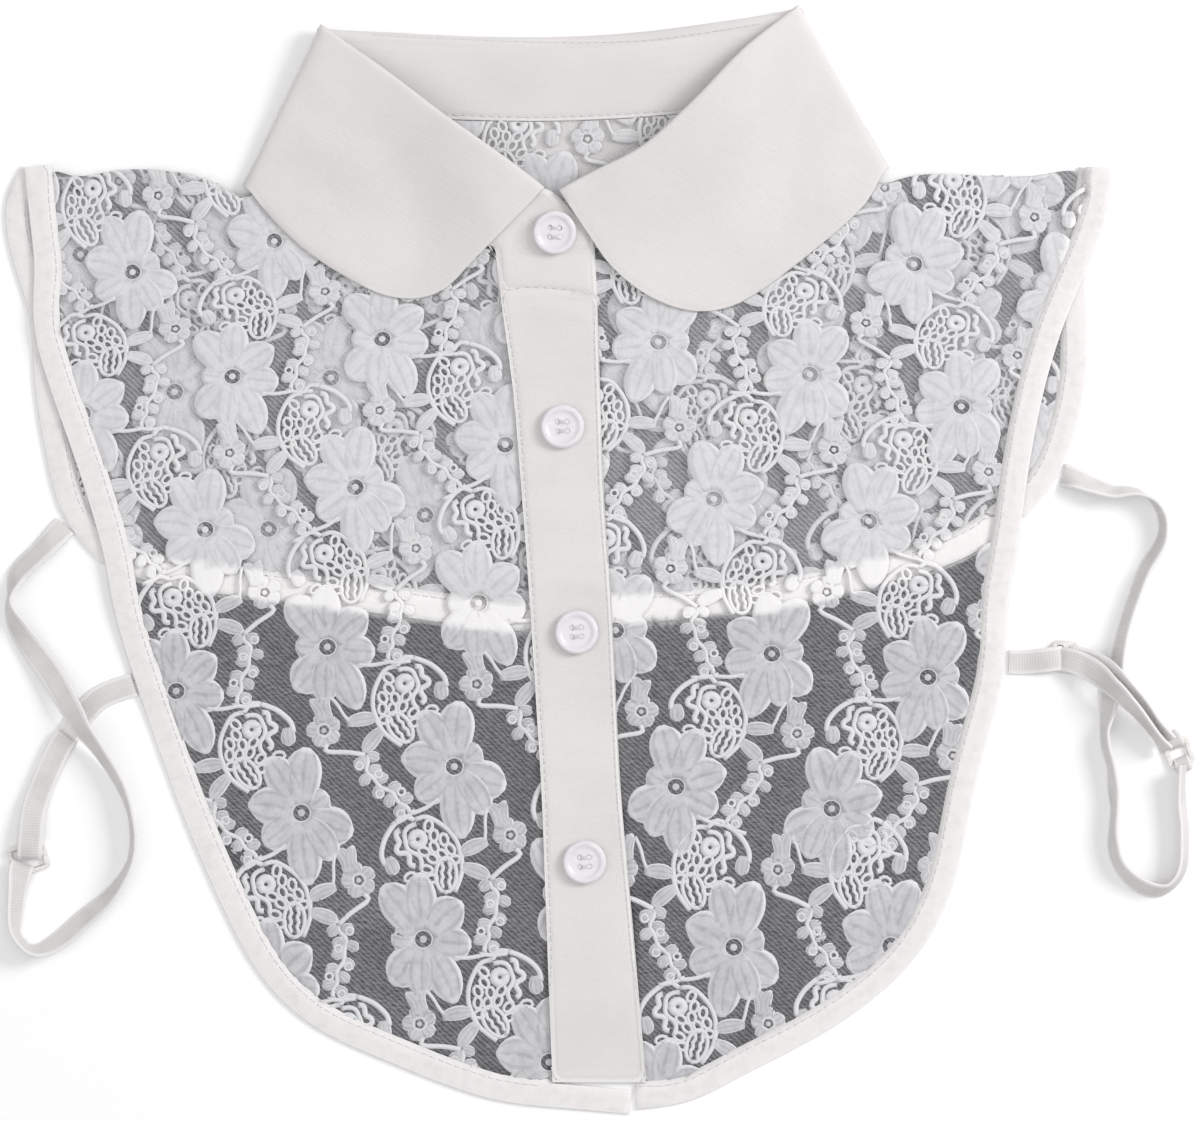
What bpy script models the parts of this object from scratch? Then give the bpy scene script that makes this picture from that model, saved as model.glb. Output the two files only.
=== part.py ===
"""Lace shirt-front collar, laid flat on a surface, face up.

The garment lies in the XY plane with its neck towards +Y and the table at Z = 0.
From the table up it has the back part of the collar leaf, the back panel with its
bindings, the front panels with theirs, the placket, the stand and the front leaves.
All tables and named sizes are in millimetres, and the meshes are in metres.
"""

import math
from collections import namedtuple

import bmesh
import bpy
from mathutils import Vector

MM = 0.001

# Cloth: the wall of every panel, the thicker folded tape, and the gap at every seam
WALL = 1.0
TAPE_THICK = 1.3
TAPE_WIDTH = 8.0
HEM_TAPE_WIDTH = 9.0
GAP = 0.3
LAYER = WALL + GAP
OVER_BACK = TAPE_THICK + GAP  # what the front rises to pass over the bound back
PANEL_GAP = 0.36  # between the back panel and the tapes, whose inner corners turn
MITRE_SHARE = 0.35  # where the mitred inner corner lies between the two tapes' inner lines

# How far from a hidden edge the cloth over it takes to come down
LEAF_RAMP = 40.0
HEM_RAMP = 40.0
RAMP_MARGIN = 6.0  # the cloth is at its full height this far beyond the hidden edge
LOFT_REACH = 60.0  # how far the soft rise of the collar's folds spreads

# Collar folds
FOLD_ROLL = 1.5  # radius of the leaf's roll over the front stand, outside
FOLD_LEG = 2.0  # how far the leaf runs on under the roll to its seam
BACK_STAND_RISE = 3.5  # how far the back stand rises from its seam to the fold
BACK_ROLL_EXTRA = 1.1  # how much further the roll reaches at the back
SIDE_REACH = 2.6  # how far the leaf's side crease stands out from its layers
STAND_REACH = 1.4  # the same at the stand's side crease
STAND_INSIDE = 2.4  # how far the stand's side crease lies inside the leaf's
STAND_CORNER_GAP = 0.8  # how far the stand's top stays below the leaf's leg at the corner
LEG_DROP = 0.15  # how far the leaf's back leg slopes down towards the stand
SOFT_ROLL = 2 * FOLD_ROLL - 2 * WALL - GAP  # air under the leaf at its fold
SOFT_SPREAD = 60.0  # how far from the fold the air is gone

# Placket
UNDERLAP = 4.0  # how far the top placket laps over the lace edges
HIDDEN_GAP = 0.8  # between the lace and the button stand, under the top placket
PLACKET_END = -171.2
PLACKET_END_SLOPE = 0.05
UNDER_START = 103.4  # where the button stand begins, at the neck seam

# Buttons
BUTTON_RADIUS = 7.5
BUTTON_THICK = 2.2
BUTTON_DISH = 0.7  # depth of the dish inside the raised rim
BUTTON_RIM = 1.9  # width of the rim
RIM_EASE = 0.7  # how far the rim slopes in, and nearly as much out
BUTTON_WAIST = 1.36  # height of the widest point
BUTTON_UNDER = 1.2  # how far the underside is smaller all round
BUTTON_SEAT = 0.12  # more air under the button where the cloth curves
SLOPE_STEP = 6.75  # how far from its middle the button rests on the cloth
HOLE_RADIUS = 0.95
HOLE_OFFSET = 1.5
BUTTON_SIDES = 16
HOLE_SIDES = 6

# Elastic
STRAP_WIDTH = 8.0
STRAP_THICK = 1.0
SEAT = 0.1  # keeps the edge of a turned strap just above the table
HARDWARE_THICK = 1.6
HARDWARE_BAR = 1.6
PLATE_CORNER = 1.8
SLOT_CORNER = 0.7

Place = namedtuple("Place", "x y")
FoldPlace = namedtuple("FoldPlace", "x y loft")
PlacketRow = namedtuple("PlacketRow", "y left right")
StrapPlace = namedtuple("StrapPlace", "x y lift tilt")


def places(kind, *rows):
    """Give the columns of a short table their names."""
    return [kind(*row) for row in rows]


# Outlines, from the shoulder tip down
FRONT_LEFT_EDGE = places(
    Place, (-179, 140), (-178, 121), (-177, 105), (-179, 89), (-175, 70), (-166, 40),
    (-159, 12), (-156, -10), (-148, -40), (-138, -73), (-127, -103), (-115, -129),
    (-99, -147), (-75, -160), (-40, -175), (-12, -179.5), (6, -182),
)
FRONT_RIGHT_EDGE = places(
    Place, (180, 123), (179, 112), (173, 96), (162, 73), (155, 54), (149, 31),
    (144, 5), (139, -18), (136, -44), (126, -76), (117, -110), (106, -131),
    (92, -145), (72, -158), (46, -170), (26, -179), (8.4, -180.5),
)
BACK_LEFT_EDGE = places(
    Place, (-180, 140.5), (-185, 134), (-186.5, 120), (-183, 104), (-179.5, 90),
    (-179, 65), (-176, 42), (-172, 24), (-160, 8),
)
BACK_RIGHT_EDGE = places(
    Place, (178, 122), (175, 108), (170, 92), (169.5, 75), (168.5, 55), (164, 37),
    (157, 21), (146, 9),
)
BACK_HEM_EDGE = places(
    Place, (-160, 8), (-142, 0), (-106, -6.5), (-74, -12), (-20, -21.5), (9, -20),
    (48, -19), (90, -13), (126, -4), (146, 9),
)
# The shoulder dips under the end of the leaf's side crease on its way to the neck
SHOULDER_LEFT = places(
    Place, (-171, 137), (-162, 135), (-150, 138), (-134, 137), (-117, 133), (-110, 126),
    (-103, 126), (-95, 138), (-85.5, 151),
)
SHOULDER_RIGHT = places(
    Place, (172, 122), (160, 122), (150, 121), (130, 123), (113, 124), (107, 119.5),
    (101, 120.5), (93, 133), (82.5, 148),
)
NECK_FRONT_LEFT = places(
    Place, (-20, 105), (-28, 106), (-46, 111), (-66, 122), (-80, 138), (-86, 154),
)
NECK_FRONT_RIGHT = places(
    Place, (4.5, 104), (14, 104), (30, 106), (52, 114), (70, 129), (79, 141), (83, 151),
)
NECK_BACK = places(
    Place, (-86, 154), (-66, 151.5), (-41, 149.5), (-7, 147), (30, 147), (60, 149), (83, 151),
)
# Edges of the collar, left and right from the centre front, and round the back
FOLD_LEFT = places(
    FoldPlace, (-7.5, 125, 4.5), (-18, 134, 5.5), (-40, 151, 7.5), (-59, 167, 6.5), (-79, 182, 4),
)
FOLD_RIGHT = places(
    FoldPlace, (-3, 124, 4.5), (11, 131, 5.5), (24, 136, 7), (45, 153.5, 8.5), (60, 168, 7),
    (79, 181, 4),
)
FOLD_BACK = places(Place, (-79, 182), (-60, 179.5), (-27, 176), (14, 174.5), (50, 177), (79, 181))
LEAF_EDGE_LEFT = places(
    Place, (-35, 99.5), (-39, 94.5), (-46, 91), (-54, 90), (-64, 92.5), (-76, 99.5),
    (-91, 111), (-107, 130),
)
LEAF_EDGE_RIGHT = places(
    Place, (12, 99), (19, 91.5), (29, 85), (42, 81), (54, 83), (66, 90), (84, 103),
    (98, 114), (106, 126),
)
LEAF_EDGE_BACK = places(Place, (-107, 130), (-70, 117), (0, 112), (70, 115), (106, 126))
CREASE_LEFT_OUT = Vector((-0.87, 0.49))
CREASE_RIGHT_OUT = Vector((0.89, 0.46))

PLACKET = places(
    PlacketRow, (90, -24, 8), (56, -21, 7.5), (23, -20, 7), (-12, -19, 8), (-80, -18, 8),
    (-123, -18.5, 10), (-178, -19, 12),
)
PLACKET_SEAM = places(Place, (-24, 91.5), (-8, 90.5), (8, 88))
# The stand's lapped end: its upper edge over the seam, and the corner by the left lace
STAND_END_TOP = places(Place, (8, 109), (3, 115), (-4, 118.5), (-10, 120), (-17, 127))
TAB_CORNER = Place(-25, 106)
# Where the leaf rises over that end: from here, over this length, on each side
TAB_RISE_LEFT, TAB_RISE_LEFT_LENGTH = -46.0, 20.0
TAB_RISE_RIGHT, TAB_RISE_RIGHT_LENGTH = 34.0, 22.0
# Low and high points of the end beneath it, from the right to its free edge
STAND_UNDER_END = (
    (Place(4, 104), Place(4, 119)),
    (Place(-6, 103.9), Place(-5, 116.5)),
    (Place(-18.5, 104.2), Place(-16, 112)),
)

# How finely the curves are divided
FOLD_POINTS = 11
BACK_POINTS = 8
BACK_SIDE_POINTS = 15
BACK_HEM_POINTS = 22
SHOULDER_POINTS = 10
EDGE_POINTS = 38
HEM_COLUMNS = 11
HEM_ROOM = 2.0  # the lace's corner by the placket stays this far from the tape's next point
PLACKET_LEVELS = 19
PLACKET_COLUMNS = 5
LEAF_CELLS = 6
STAND_CELLS = 3
TURN_STEPS = 4
ROLL_ANGLES = (-90, -45, 0, 45, 90)
ROUND_POINTS = 16
TAB_EDGE = 2  # the point of the leaf's fold line where the lapped end's free edge meets it
LEFT_START, RIGHT_START = 4, 2  # the fold points at which the stand's plain ribs begin

BUTTONS = places(Place, (-5, 110), (-5.5, 46), (-4, -22), (-5, -98))

# Elastic: place, height of its underside, and turn about its length in degrees
STRAPS = {
    "strap_left_long": places(
        StrapPlace, (-171.3, 21.1, 0, 0), (-179, 13.6, 0, 30), (-187.2, 6.2, 0, 38),
        (-190.2, -1, 0, 78), (-190.6, -5.2, 0, 68), (-188.6, -11.4, 0, 38), (-184.6, -18, 0.6, 20),
        (-178.6, -26.8, 1.8, 5), (-171.8, -39.5, 2.9, 25), (-168.1, -46.5, 2.9, 45),
        (-163.5, -53.4, 1.2, 58), (-157, -65, 0, 66), (-153.9, -75, 0, 76), (-153.4, -84.3, 0, 74),
        (-155.4, -92.6, 0, 73), (-162.4, -102, 0, 56), (-170.9, -108.9, 0, 40),
        (-179, -115.4, 0, 42), (-185.2, -118.4, 0, 57), (-190.2, -117.6, 0, 74),
        (-193.6, -113, 0, 72), (-193.7, -107, 0, 55), (-192.4, -98, 0.6, 44),
        (-191.3, -92.4, 1.9, 20),
    ),
    "strap_left_front": places(
        StrapPlace, (-187.6, -85.2, 1.9, 0), (-187.2, -81.4, 1.9, 0), (-185.8, -72, 0.5, 0),
        (-181.6, -62, 0, 0), (-176.4, -52.2, 0, 0), (-170, -43.5, 0, 0), (-162, -36, 0, 0),
        (-150.9, -32.5, 0, 0),
    ),
    "strap_left_return": places(
        StrapPlace, (-187.7, -84.2, 3.25, 0), (-187.2, -80.8, 3.25, 0), (-185.8, -72, 2, 0),
        (-181.8, -62.3, 1.35, 0), (-176.8, -52.4, 1.35, 0), (-174, -48.4, 1.35, 0),
    ),
    "strap_right_long": places(
        StrapPlace, (159.1, 22.3, 0, 0), (162.8, 21.1, 0, -30), (167.8, 18.8, 0, -45),
        (175, 16, 0, -60), (179.5, 16, 0, -68), (184.2, 15.2, 0, -80), (188.8, 11.8, 0, -97),
        (191.1, 7, 0, -104), (191.2, 2.2, 0, -106), (189.4, -2.9, 0, -112), (184.5, -10, 0, -114),
        (181.1, -17.8, 0, -112), (178.2, -25, 0, -111), (175.8, -32.2, 0, -113),
        (173.9, -40.1, 0, -120), (172.4, -45, 0, -136), (171.2, -50.5, 0, -140),
        (170, -56.4, 0, -124), (168.7, -62.7, 0, -104), (168.9, -68.4, 0, -105),
        (170.4, -75.1, 0, -103),
        (170.7, -83, 0, -110), (170.8, -89, 0, -101), (170, -95.5, 0, -103),
        (169.9, -101.5, 0, -112), (171.2, -106.8, 0, -114), (174.3, -111.2, 0, -120),
        (178.6, -114.7, 0, -126), (183.5, -116.3, 0, -121), (187.6, -115.4, 0, -109),
        (190.6, -112.5, 0, -109), (192.6, -108, 0, -113), (193.2, -101.8, 0, -113),
        (193.4, -94.8, 0, -113), (193, -88.8, 0, -113), (193.1, -82, 0.6, -110),
        (193.6, -75.2, 1.9, -108),
    ),
    "strap_right_outer": places(
        StrapPlace, (189.8, -67, 1.9, -60), (185.8, -60.8, 2.2, -74), (182.9, -56.2, 3.6, -72),
        (179.6, -52.1, 5.2, -66), (175.8, -48.2, 6.6, -56), (172.8, -45.2, 6.5, -44),
        (168.6, -41.8, 4.6, -20), (163.8, -39.4, 2.7, -6), (159.4, -38.1, 1.9, 0),
    ),
    "strap_right_inner": places(
        StrapPlace, (188.7, -70.2, 1.9, -60), (186, -66.1, 2.2, -74), (182.7, -61.5, 3.6, -72),
        (179.3, -57, 5.8, -66), (176, -53.3, 7, -58), (173.1, -50, 6.7, -50),
        (170.2, -47.2, 6.5, -42), (166.4, -43.4, 5.6, -19), (162.6, -40.9, 4.4, -5),
        (159.6, -39.4, 3.5, -1),
    ),
    "strap_right_tab": places(
        StrapPlace, (154.4, -38.2, 1.9, 0), (150.4, -38.6, 1.9, 0), (145.5, -38.9, 0.5, 0),
        (142, -38.9, 0, 0), (138.2, -38.6, 0, 0),
    ),
}
# Plates of the strap hardware: middle, size across and along the strap, turn, and slots
Plate = namedtuple("Plate", "x y across along turn slots")
PLATES = {
    "ring_left": Plate(-188.6, -88.1, 12.8, 10.2, 14, 1),
    "ring_right": Plate(193, -71.2, 9, 9.6, 16, 1),
    "slider_right": Plate(156.8, -37.8, 10.8, 8.8, 80, 2),
}

COTTON = (0.86, 0.84, 0.83, 1)
LACE = (0.72, 0.73, 0.74, 1)
TAPE = (0.9, 0.89, 0.88, 1)
ELASTIC = (0.82, 0.8, 0.79, 1)
PEARL = (0.84, 0.83, 0.88, 1)
PLASTIC = (0.8, 0.77, 0.73, 1)


def clear_scene():
    """Remove every object that the file opened with."""
    for obj in list(bpy.data.objects):
        bpy.data.objects.remove(obj, do_unlink=True)


def material(name, colour, roughness):
    """A plain Principled material."""
    made = bpy.data.materials.new(name)
    made.use_nodes = True
    shader = made.node_tree.nodes["Principled BSDF"]
    shader.inputs["Base Color"].default_value = colour
    shader.inputs["Roughness"].default_value = roughness
    shader.inputs["Metallic"].default_value = 0.0
    return made


def smooth_step(value):
    """0 below 0, 1 above 1, and an easy curve between."""
    held = min(max(value, 0.0), 1.0)
    return held * held * (3 - 2 * held)


def through(table, count):
    """Evenly spaced points, with every column, on the smooth curve through a table."""
    rows = [Vector(row) for row in table]
    fine = [rows[0]]
    for i in range(len(rows) - 1):
        before, start = rows[max(i - 1, 0)], rows[i]
        end, after = rows[i + 1], rows[min(i + 2, len(rows) - 1)]
        for k in range(1, 13):
            t = k / 12
            fine.append(
                (
                    start * 2
                    + (end - before) * t
                    + (before * 2 - start * 5 + end * 4 - after) * t**2
                    + (start * 3 - before - end * 3 + after) * t**3
                )
                / 2
            )
    run = [0.0]
    for one, two in zip(fine, fine[1:]):
        run.append(run[-1] + (two.xy - one.xy).length)
    spaced, seek = [], 0
    for k in range(count):
        want = run[-1] * k / (count - 1)
        while seek < len(run) - 2 and run[seek + 1] < want:
            seek += 1
        share = (want - run[seek]) / max(run[seek + 1] - run[seek], 1e-9)
        spaced.append(fine[seek].lerp(fine[seek + 1], min(share, 1.0)))
    return spaced


def across_at(line, i):
    """The unit direction in plan that points left of a line's way at its point i."""
    way = (line[min(i + 1, len(line) - 1)].xy - line[max(i - 1, 0)].xy).normalized()
    return Vector((-way.y, way.x))


def inset(line, distance):
    """The line moved sideways in plan, to the left of its way."""
    return [point.xy + across_at(line, i) * distance for i, point in enumerate(line)]


def height_at(line, x):
    """The Y of a line that runs along X, at x."""
    if x <= line[0].x:
        return line[0].y
    for one, two in zip(line, line[1:]):
        if x <= two.x:
            share = (x - one.x) / (two.x - one.x)
            return one.y + (two.y - one.y) * share
    return line[-1].y


def placket_sides(y):
    """The left and right edge of the placket at y."""
    for upper, lower in zip(PLACKET, PLACKET[1:]):
        if y >= lower.y or lower is PLACKET[-1]:
            share = min(max((upper.y - y) / (upper.y - lower.y), -0.6), 1.0)
            left = upper.left + (lower.left - upper.left) * share
            right = upper.right + (lower.right - upper.right) * share
            return left, right
    raise ValueError(y)


HEM_LINE = through(BACK_HEM_EDGE, 30)
BACK_LEAF_LINE = through(LEAF_EDGE_BACK, 24)
FOLD_LINES = through(FOLD_LEFT, 16) + through(FOLD_RIGHT, 16)


def over_leaf(x, y):
    """1 over the back part of the leaf, falling to 0 around it."""
    rise = LEAF_RAMP - RAMP_MARGIN
    below = smooth_step((y - height_at(BACK_LEAF_LINE, x) + LEAF_RAMP) / rise)
    beside = smooth_step((LEAF_EDGE_RIGHT[-1].x + LEAF_RAMP - abs(x)) / rise)
    return below * beside


def collar_loft(x, y):
    """The soft rise of the front towards the collar's folds."""
    here = Vector((x, y))
    near = min(FOLD_LINES, key=lambda fold: (fold.xy - here).length_squared)
    return near.z * max(0.0, 1 - (near.xy - here).length / LOFT_REACH) ** 2


def under_back(x, y):
    """Height of the back panel's underside."""
    return LAYER * over_leaf(x, y)


def under_front(x, y):
    """Height of the front panels' underside, which the placket and stand share."""
    hem = smooth_step((y - height_at(HEM_LINE, x) + HEM_RAMP) / (HEM_RAMP - RAMP_MARGIN))
    return OVER_BACK * hem + under_back(x, y) + collar_loft(x, y)


def over_tab(x, y):
    """1 where the lapped end of the stand lies on the end under it, 0 away from it."""
    left = smooth_step((x - TAB_RISE_LEFT) / TAB_RISE_LEFT_LENGTH)
    return left * smooth_step((TAB_RISE_RIGHT - x) / TAB_RISE_RIGHT_LENGTH)


def finish(obj, finish_material, collection):
    """Put an object in the garment's collection with its material."""
    obj.data.materials.clear()
    obj.data.materials.append(finish_material)
    collection.objects.link(obj)
    return obj


def cloth(name, grid, thick, finish_material, collection):
    """A wall of cloth: the surface through a grid of points at its middle, thickened."""
    mesh = bpy.data.meshes.new(name)
    shape = bmesh.new()
    rows = [[shape.verts.new(Vector(p) * MM) for p in row] for row in grid]
    for upper, lower in zip(rows, rows[1:]):
        for i in range(len(upper) - 1):
            shape.faces.new((upper[i], lower[i], lower[i + 1], upper[i + 1]))
    shape.to_mesh(mesh)
    shape.free()
    mesh.shade_smooth()
    obj = bpy.data.objects.new(name, mesh)
    wall = obj.modifiers.new("wall", "SOLIDIFY")
    wall.thickness = thick * MM
    wall.offset = 0
    wall.use_even_offset = True
    return finish(obj, finish_material, collection)


def laid(points, under, thick):
    """Points in plan raised so that a wall of that thickness lies on a height."""
    return [Vector((p.x, p.y, under(p.x, p.y) + thick / 2)) for p in points]


def patch(top, bottom, left, right):
    """Rows of points that fill four edges, all smooth between them."""
    rows = []
    for j in range(len(left)):
        v = j / (len(left) - 1)
        row = []
        for i in range(len(top)):
            u = i / (len(top) - 1)
            sides = left[j].xy * (1 - u) + right[j].xy * u
            ends = top[i].xy * (1 - v) + bottom[i].xy * v
            corners = (top[0].xy * (1 - u) + top[-1].xy * u) * (1 - v)
            corners += (bottom[0].xy * (1 - u) + bottom[-1].xy * u) * v
            row.append(sides + ends - corners)
        rows.append(row)
    return rows


def strip(outer, inner, cells):
    """Rows of points across a strip from its inner line to its outer line."""
    return [
        [one.xy.lerp(two.xy, k / cells) for k in range(cells + 1)]
        for one, two in zip(inner, outer)
    ]


def make_back(lace, tape, collection):
    """The back panel with its two armhole bindings and its hem binding."""
    left = through(BACK_LEFT_EDGE, BACK_SIDE_POINTS)
    right = through(BACK_RIGHT_EDGE, BACK_SIDE_POINTS)
    hem = through(BACK_HEM_EDGE, BACK_HEM_POINTS)
    left_in = inset(left, TAPE_WIDTH)
    right_in = inset(right, -TAPE_WIDTH)
    hem_in = inset(hem, HEM_TAPE_WIDTH)
    corner_left = hem_in[1].lerp(left_in[-1], MITRE_SHARE)
    corner_right = hem_in[-2].lerp(right_in[-1], MITRE_SHARE)
    left_in[-1], right_in[-1] = corner_left, corner_right
    hem_in[0], hem_in[-1] = corner_left, corner_right
    # the mitred ends part by one seam gap
    seam = Vector((GAP, 0))
    hem_outer = [hem[0].xy + seam, *[p.xy for p in hem[1:-1]], hem[-1].xy - seam]
    hem_inner = [hem_in[0] + seam, *hem_in[1:-1], hem_in[-1] - seam]
    for name, outer, inner in (
        ("back_binding_left", left, left_in),
        ("back_binding_right", right, right_in),
        ("back_hem_binding", hem_outer, hem_inner),
    ):
        rows = [laid(row, under_back, TAPE_THICK) for row in strip(outer, inner, 1)]
        cloth(name, rows, TAPE_THICK, tape, collection)
    side_left = [p + Vector((PANEL_GAP, GAP)) for p in left_in]
    side_right = [p + Vector((-PANEL_GAP, GAP)) for p in right_in]
    neck = inset(through(NECK_BACK, BACK_POINTS), -GAP)
    top = [
        *[p.xy for p in through([side_left[0], *SHOULDER_LEFT[1:]], SHOULDER_POINTS)],
        *neck[1:-1],
        *[p.xy for p in through([side_right[0], *SHOULDER_RIGHT[1:]], SHOULDER_POINTS)][::-1],
    ]
    low = through([p + Vector((0, PANEL_GAP)) for p in hem_in], len(top))
    low[0], low[-1] = side_left[-1], side_right[-1]
    rows = patch(top, low, side_left, side_right)
    cloth("back_panel", [laid(row, under_back, WALL) for row in rows], WALL, lace, collection)


def make_front(side, lace, tape, collection):
    """One lace front with its binding; side is -1 for the left and 1 for the right."""
    left = side < 0
    side_name = "left" if left else "right"
    edge = through(FRONT_LEFT_EDGE if left else FRONT_RIGHT_EDGE, EDGE_POINTS)
    rows = strip(edge, inset(edge, -side * TAPE_WIDTH), 1)
    rows = [laid(row, under_front, TAPE_THICK) for row in rows]
    cloth(f"front_binding_{side_name}", rows, TAPE_THICK, tape, collection)

    # the lace ends beside the button stand, under the top placket
    tape_line = inset(edge, -side * (TAPE_WIDTH + GAP))
    near, far = placket_sides(PLACKET_END)
    end_x = near + UNDERLAP - HIDDEN_GAP if left else far - UNDERLAP + HIDDEN_GAP
    last = max(i for i, p in enumerate(tape_line) if (p.x - end_x) * side > HEM_ROOM)
    corner = Vector((end_x, tape_line[last].y))
    turn = last - HEM_COLUMNS
    neck = inset(through(NECK_FRONT_LEFT if left else NECK_FRONT_RIGHT, FOLD_POINTS), -side * GAP)
    neck = neck[::-1]
    shoulder = SHOULDER_LEFT if left else SHOULDER_RIGHT
    neck[0] = Vector(shoulder[-1])
    inner_side = list(neck)
    steps = turn + 1 - len(neck)
    for k in range(1, steps + 1):
        y = neck[-1].y + (corner.y - neck[-1].y) * k / steps
        near, far = placket_sides(y)
        x = near + UNDERLAP - HIDDEN_GAP if left else far - UNDERLAP + HIDDEN_GAP
        inner_side.append(Vector((x, y)))
    inner_side[-1] = corner
    outer_side = tape_line[: turn + 1]
    low = [*tape_line[turn : last + 1], corner]
    top = through([outer_side[0], *shoulder[1:-1], inner_side[0]], len(low))
    rows = patch(top, low, outer_side, inner_side)
    rows = [laid(row, under_front, WALL) for row in rows]
    cloth(f"front_panel_{side_name}", rows, WALL, lace, collection)


def make_placket(cotton, collection):
    """The hidden button stand and the buttonhole placket on it."""
    under_start = [Vector((0, UNDER_START))] * PLACKET_COLUMNS
    for name, lap, lift, top_line in (
        ("placket_under", UNDERLAP, 0.0, under_start),
        ("placket_top", 0.0, LAYER, inset(through(PLACKET_SEAM, PLACKET_COLUMNS), -GAP)),
    ):
        rows = []
        for k in range(PLACKET_LEVELS):
            share = k / (PLACKET_LEVELS - 1)
            left, right = placket_sides(PLACKET[0].y + (PLACKET[-1].y - PLACKET[0].y) * share)
            row = []
            for i in range(PLACKET_COLUMNS):
                x = left + lap + (right - left - 2 * lap) * i / (PLACKET_COLUMNS - 1)
                start = top_line[i].y
                low = PLACKET_END - PLACKET_END_SLOPE * x
                row.append(Vector((x, start + (low - start) * share)))
            rows.append([p + Vector((0, 0, lift)) for p in laid(row, under_front, WALL)])
        cloth(name, rows, WALL, cotton, collection)


def front_top(x, y, from_fold):
    """Height of the front leaf's upper face."""
    soft = SOFT_ROLL * (1 - smooth_step(from_fold / SOFT_SPREAD))
    return under_front(x, y) + LAYER * (1 + over_tab(x, y)) + WALL + soft


def fold_section(fold, inward, edge, cells):
    """A front rib of the leaf: leg, roll, then the run to its edge, at the wall's middle."""
    half = WALL / 2
    middle_radius = FOLD_ROLL - half
    base = fold.xy + inward * FOLD_ROLL
    top = front_top(base.x, base.y, FOLD_ROLL)
    centre = top - FOLD_ROLL
    leg = base + inward * FOLD_LEG
    points = [Vector((leg.x, leg.y, front_top(leg.x, leg.y, FOLD_ROLL) - 2 * FOLD_ROLL + half))]
    for angle in ROLL_ANGLES:
        turn = math.radians(angle)
        place = base - inward * middle_radius * math.cos(turn)
        points.append(Vector((place.x, place.y, centre + middle_radius * math.sin(turn))))
    for k in range(1, cells + 1):
        share = k / cells
        place = base.lerp(edge.xy, share)
        from_fold = FOLD_ROLL + (place - base).length
        points.append(
            Vector((place.x, place.y, front_top(place.x, place.y, from_fold) - half))
        )
    return points


def back_section(fold, inward, edge, cells):
    """A back rib of the leaf: leg on the stand, roll at the back fold, run on the table."""
    half = WALL / 2
    tall = LAYER + BACK_STAND_RISE + WALL
    radius = tall / 2 - half
    reach = FOLD_ROLL + BACK_ROLL_EXTRA - half
    base = fold.xy + inward * (reach + half)
    leg = base + inward * FOLD_LEG
    points = [Vector((leg.x, leg.y, tall - half - LEG_DROP))]
    for angle in ROLL_ANGLES[::-1]:
        turn = math.radians(angle)
        place = base - inward * reach * math.cos(turn)
        points.append(Vector((place.x, place.y, tall / 2 + radius * math.sin(turn))))
    for k in range(1, cells + 1):
        place = base.lerp(edge.xy, k / cells)
        points.append(Vector((place.x, place.y, half)))
    return points


def turned(front, back, out, reach):
    """Ribs that carry a front rib round a side crease to the back rib under it."""
    ribs = []
    for k in range(1, TURN_STEPS):
        turn = math.pi * k / TURN_STEPS
        rib = []
        for one, two in zip(front, back):
            middle, half = (one + two) / 2, (one - two) / 2
            side = Vector((out.x, out.y, 0)) * reach * math.sin(turn)
            rib.append(middle + half * math.cos(turn) + side)
        ribs.append(rib)
    return ribs


def make_leaf(cotton, collection):
    """The leaf: two front parts over the stand and a back part on the table, one cloth."""
    count, cells = FOLD_POINTS, LEAF_CELLS
    fold_l, fold_r = through(FOLD_LEFT, count), through(FOLD_RIGHT, count)
    fold_b = through(FOLD_BACK, BACK_POINTS)
    edge_l, edge_r = through(LEAF_EDGE_LEFT, count), through(LEAF_EDGE_RIGHT, count)
    edge_b = through(LEAF_EDGE_BACK, BACK_POINTS)
    left = [
        fold_section(fold_l[i], across_at(fold_l, i), edge_l[i], cells) for i in range(count)
    ]
    right = [
        fold_section(fold_r[i], -across_at(fold_r, i), edge_r[i], cells) for i in range(count)
    ]
    back = [
        back_section(fold_b[i], -across_at(fold_b, i), edge_b[i], cells)
        for i in range(BACK_POINTS)
    ]
    # the layers end short of the crease, whose round stands out to the outline
    for ribs, place, out in (
        (left, -1, CREASE_LEFT_OUT),
        (back, 0, CREASE_LEFT_OUT),
        (back, -1, CREASE_RIGHT_OUT),
        (right, -1, CREASE_RIGHT_OUT),
    ):
        back_off = Vector((out.x, out.y, 0)) * SIDE_REACH
        ribs[place] = [p - back_off for p in ribs[place]]
    grid = [
        *left,
        *turned(left[-1], back[0], CREASE_LEFT_OUT, SIDE_REACH),
        *back,
        *turned(right[-1], back[-1], CREASE_RIGHT_OUT, SIDE_REACH)[::-1],
        *right[::-1],
    ]
    cloth("collar_leaf", grid, WALL, cotton, collection)


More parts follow.
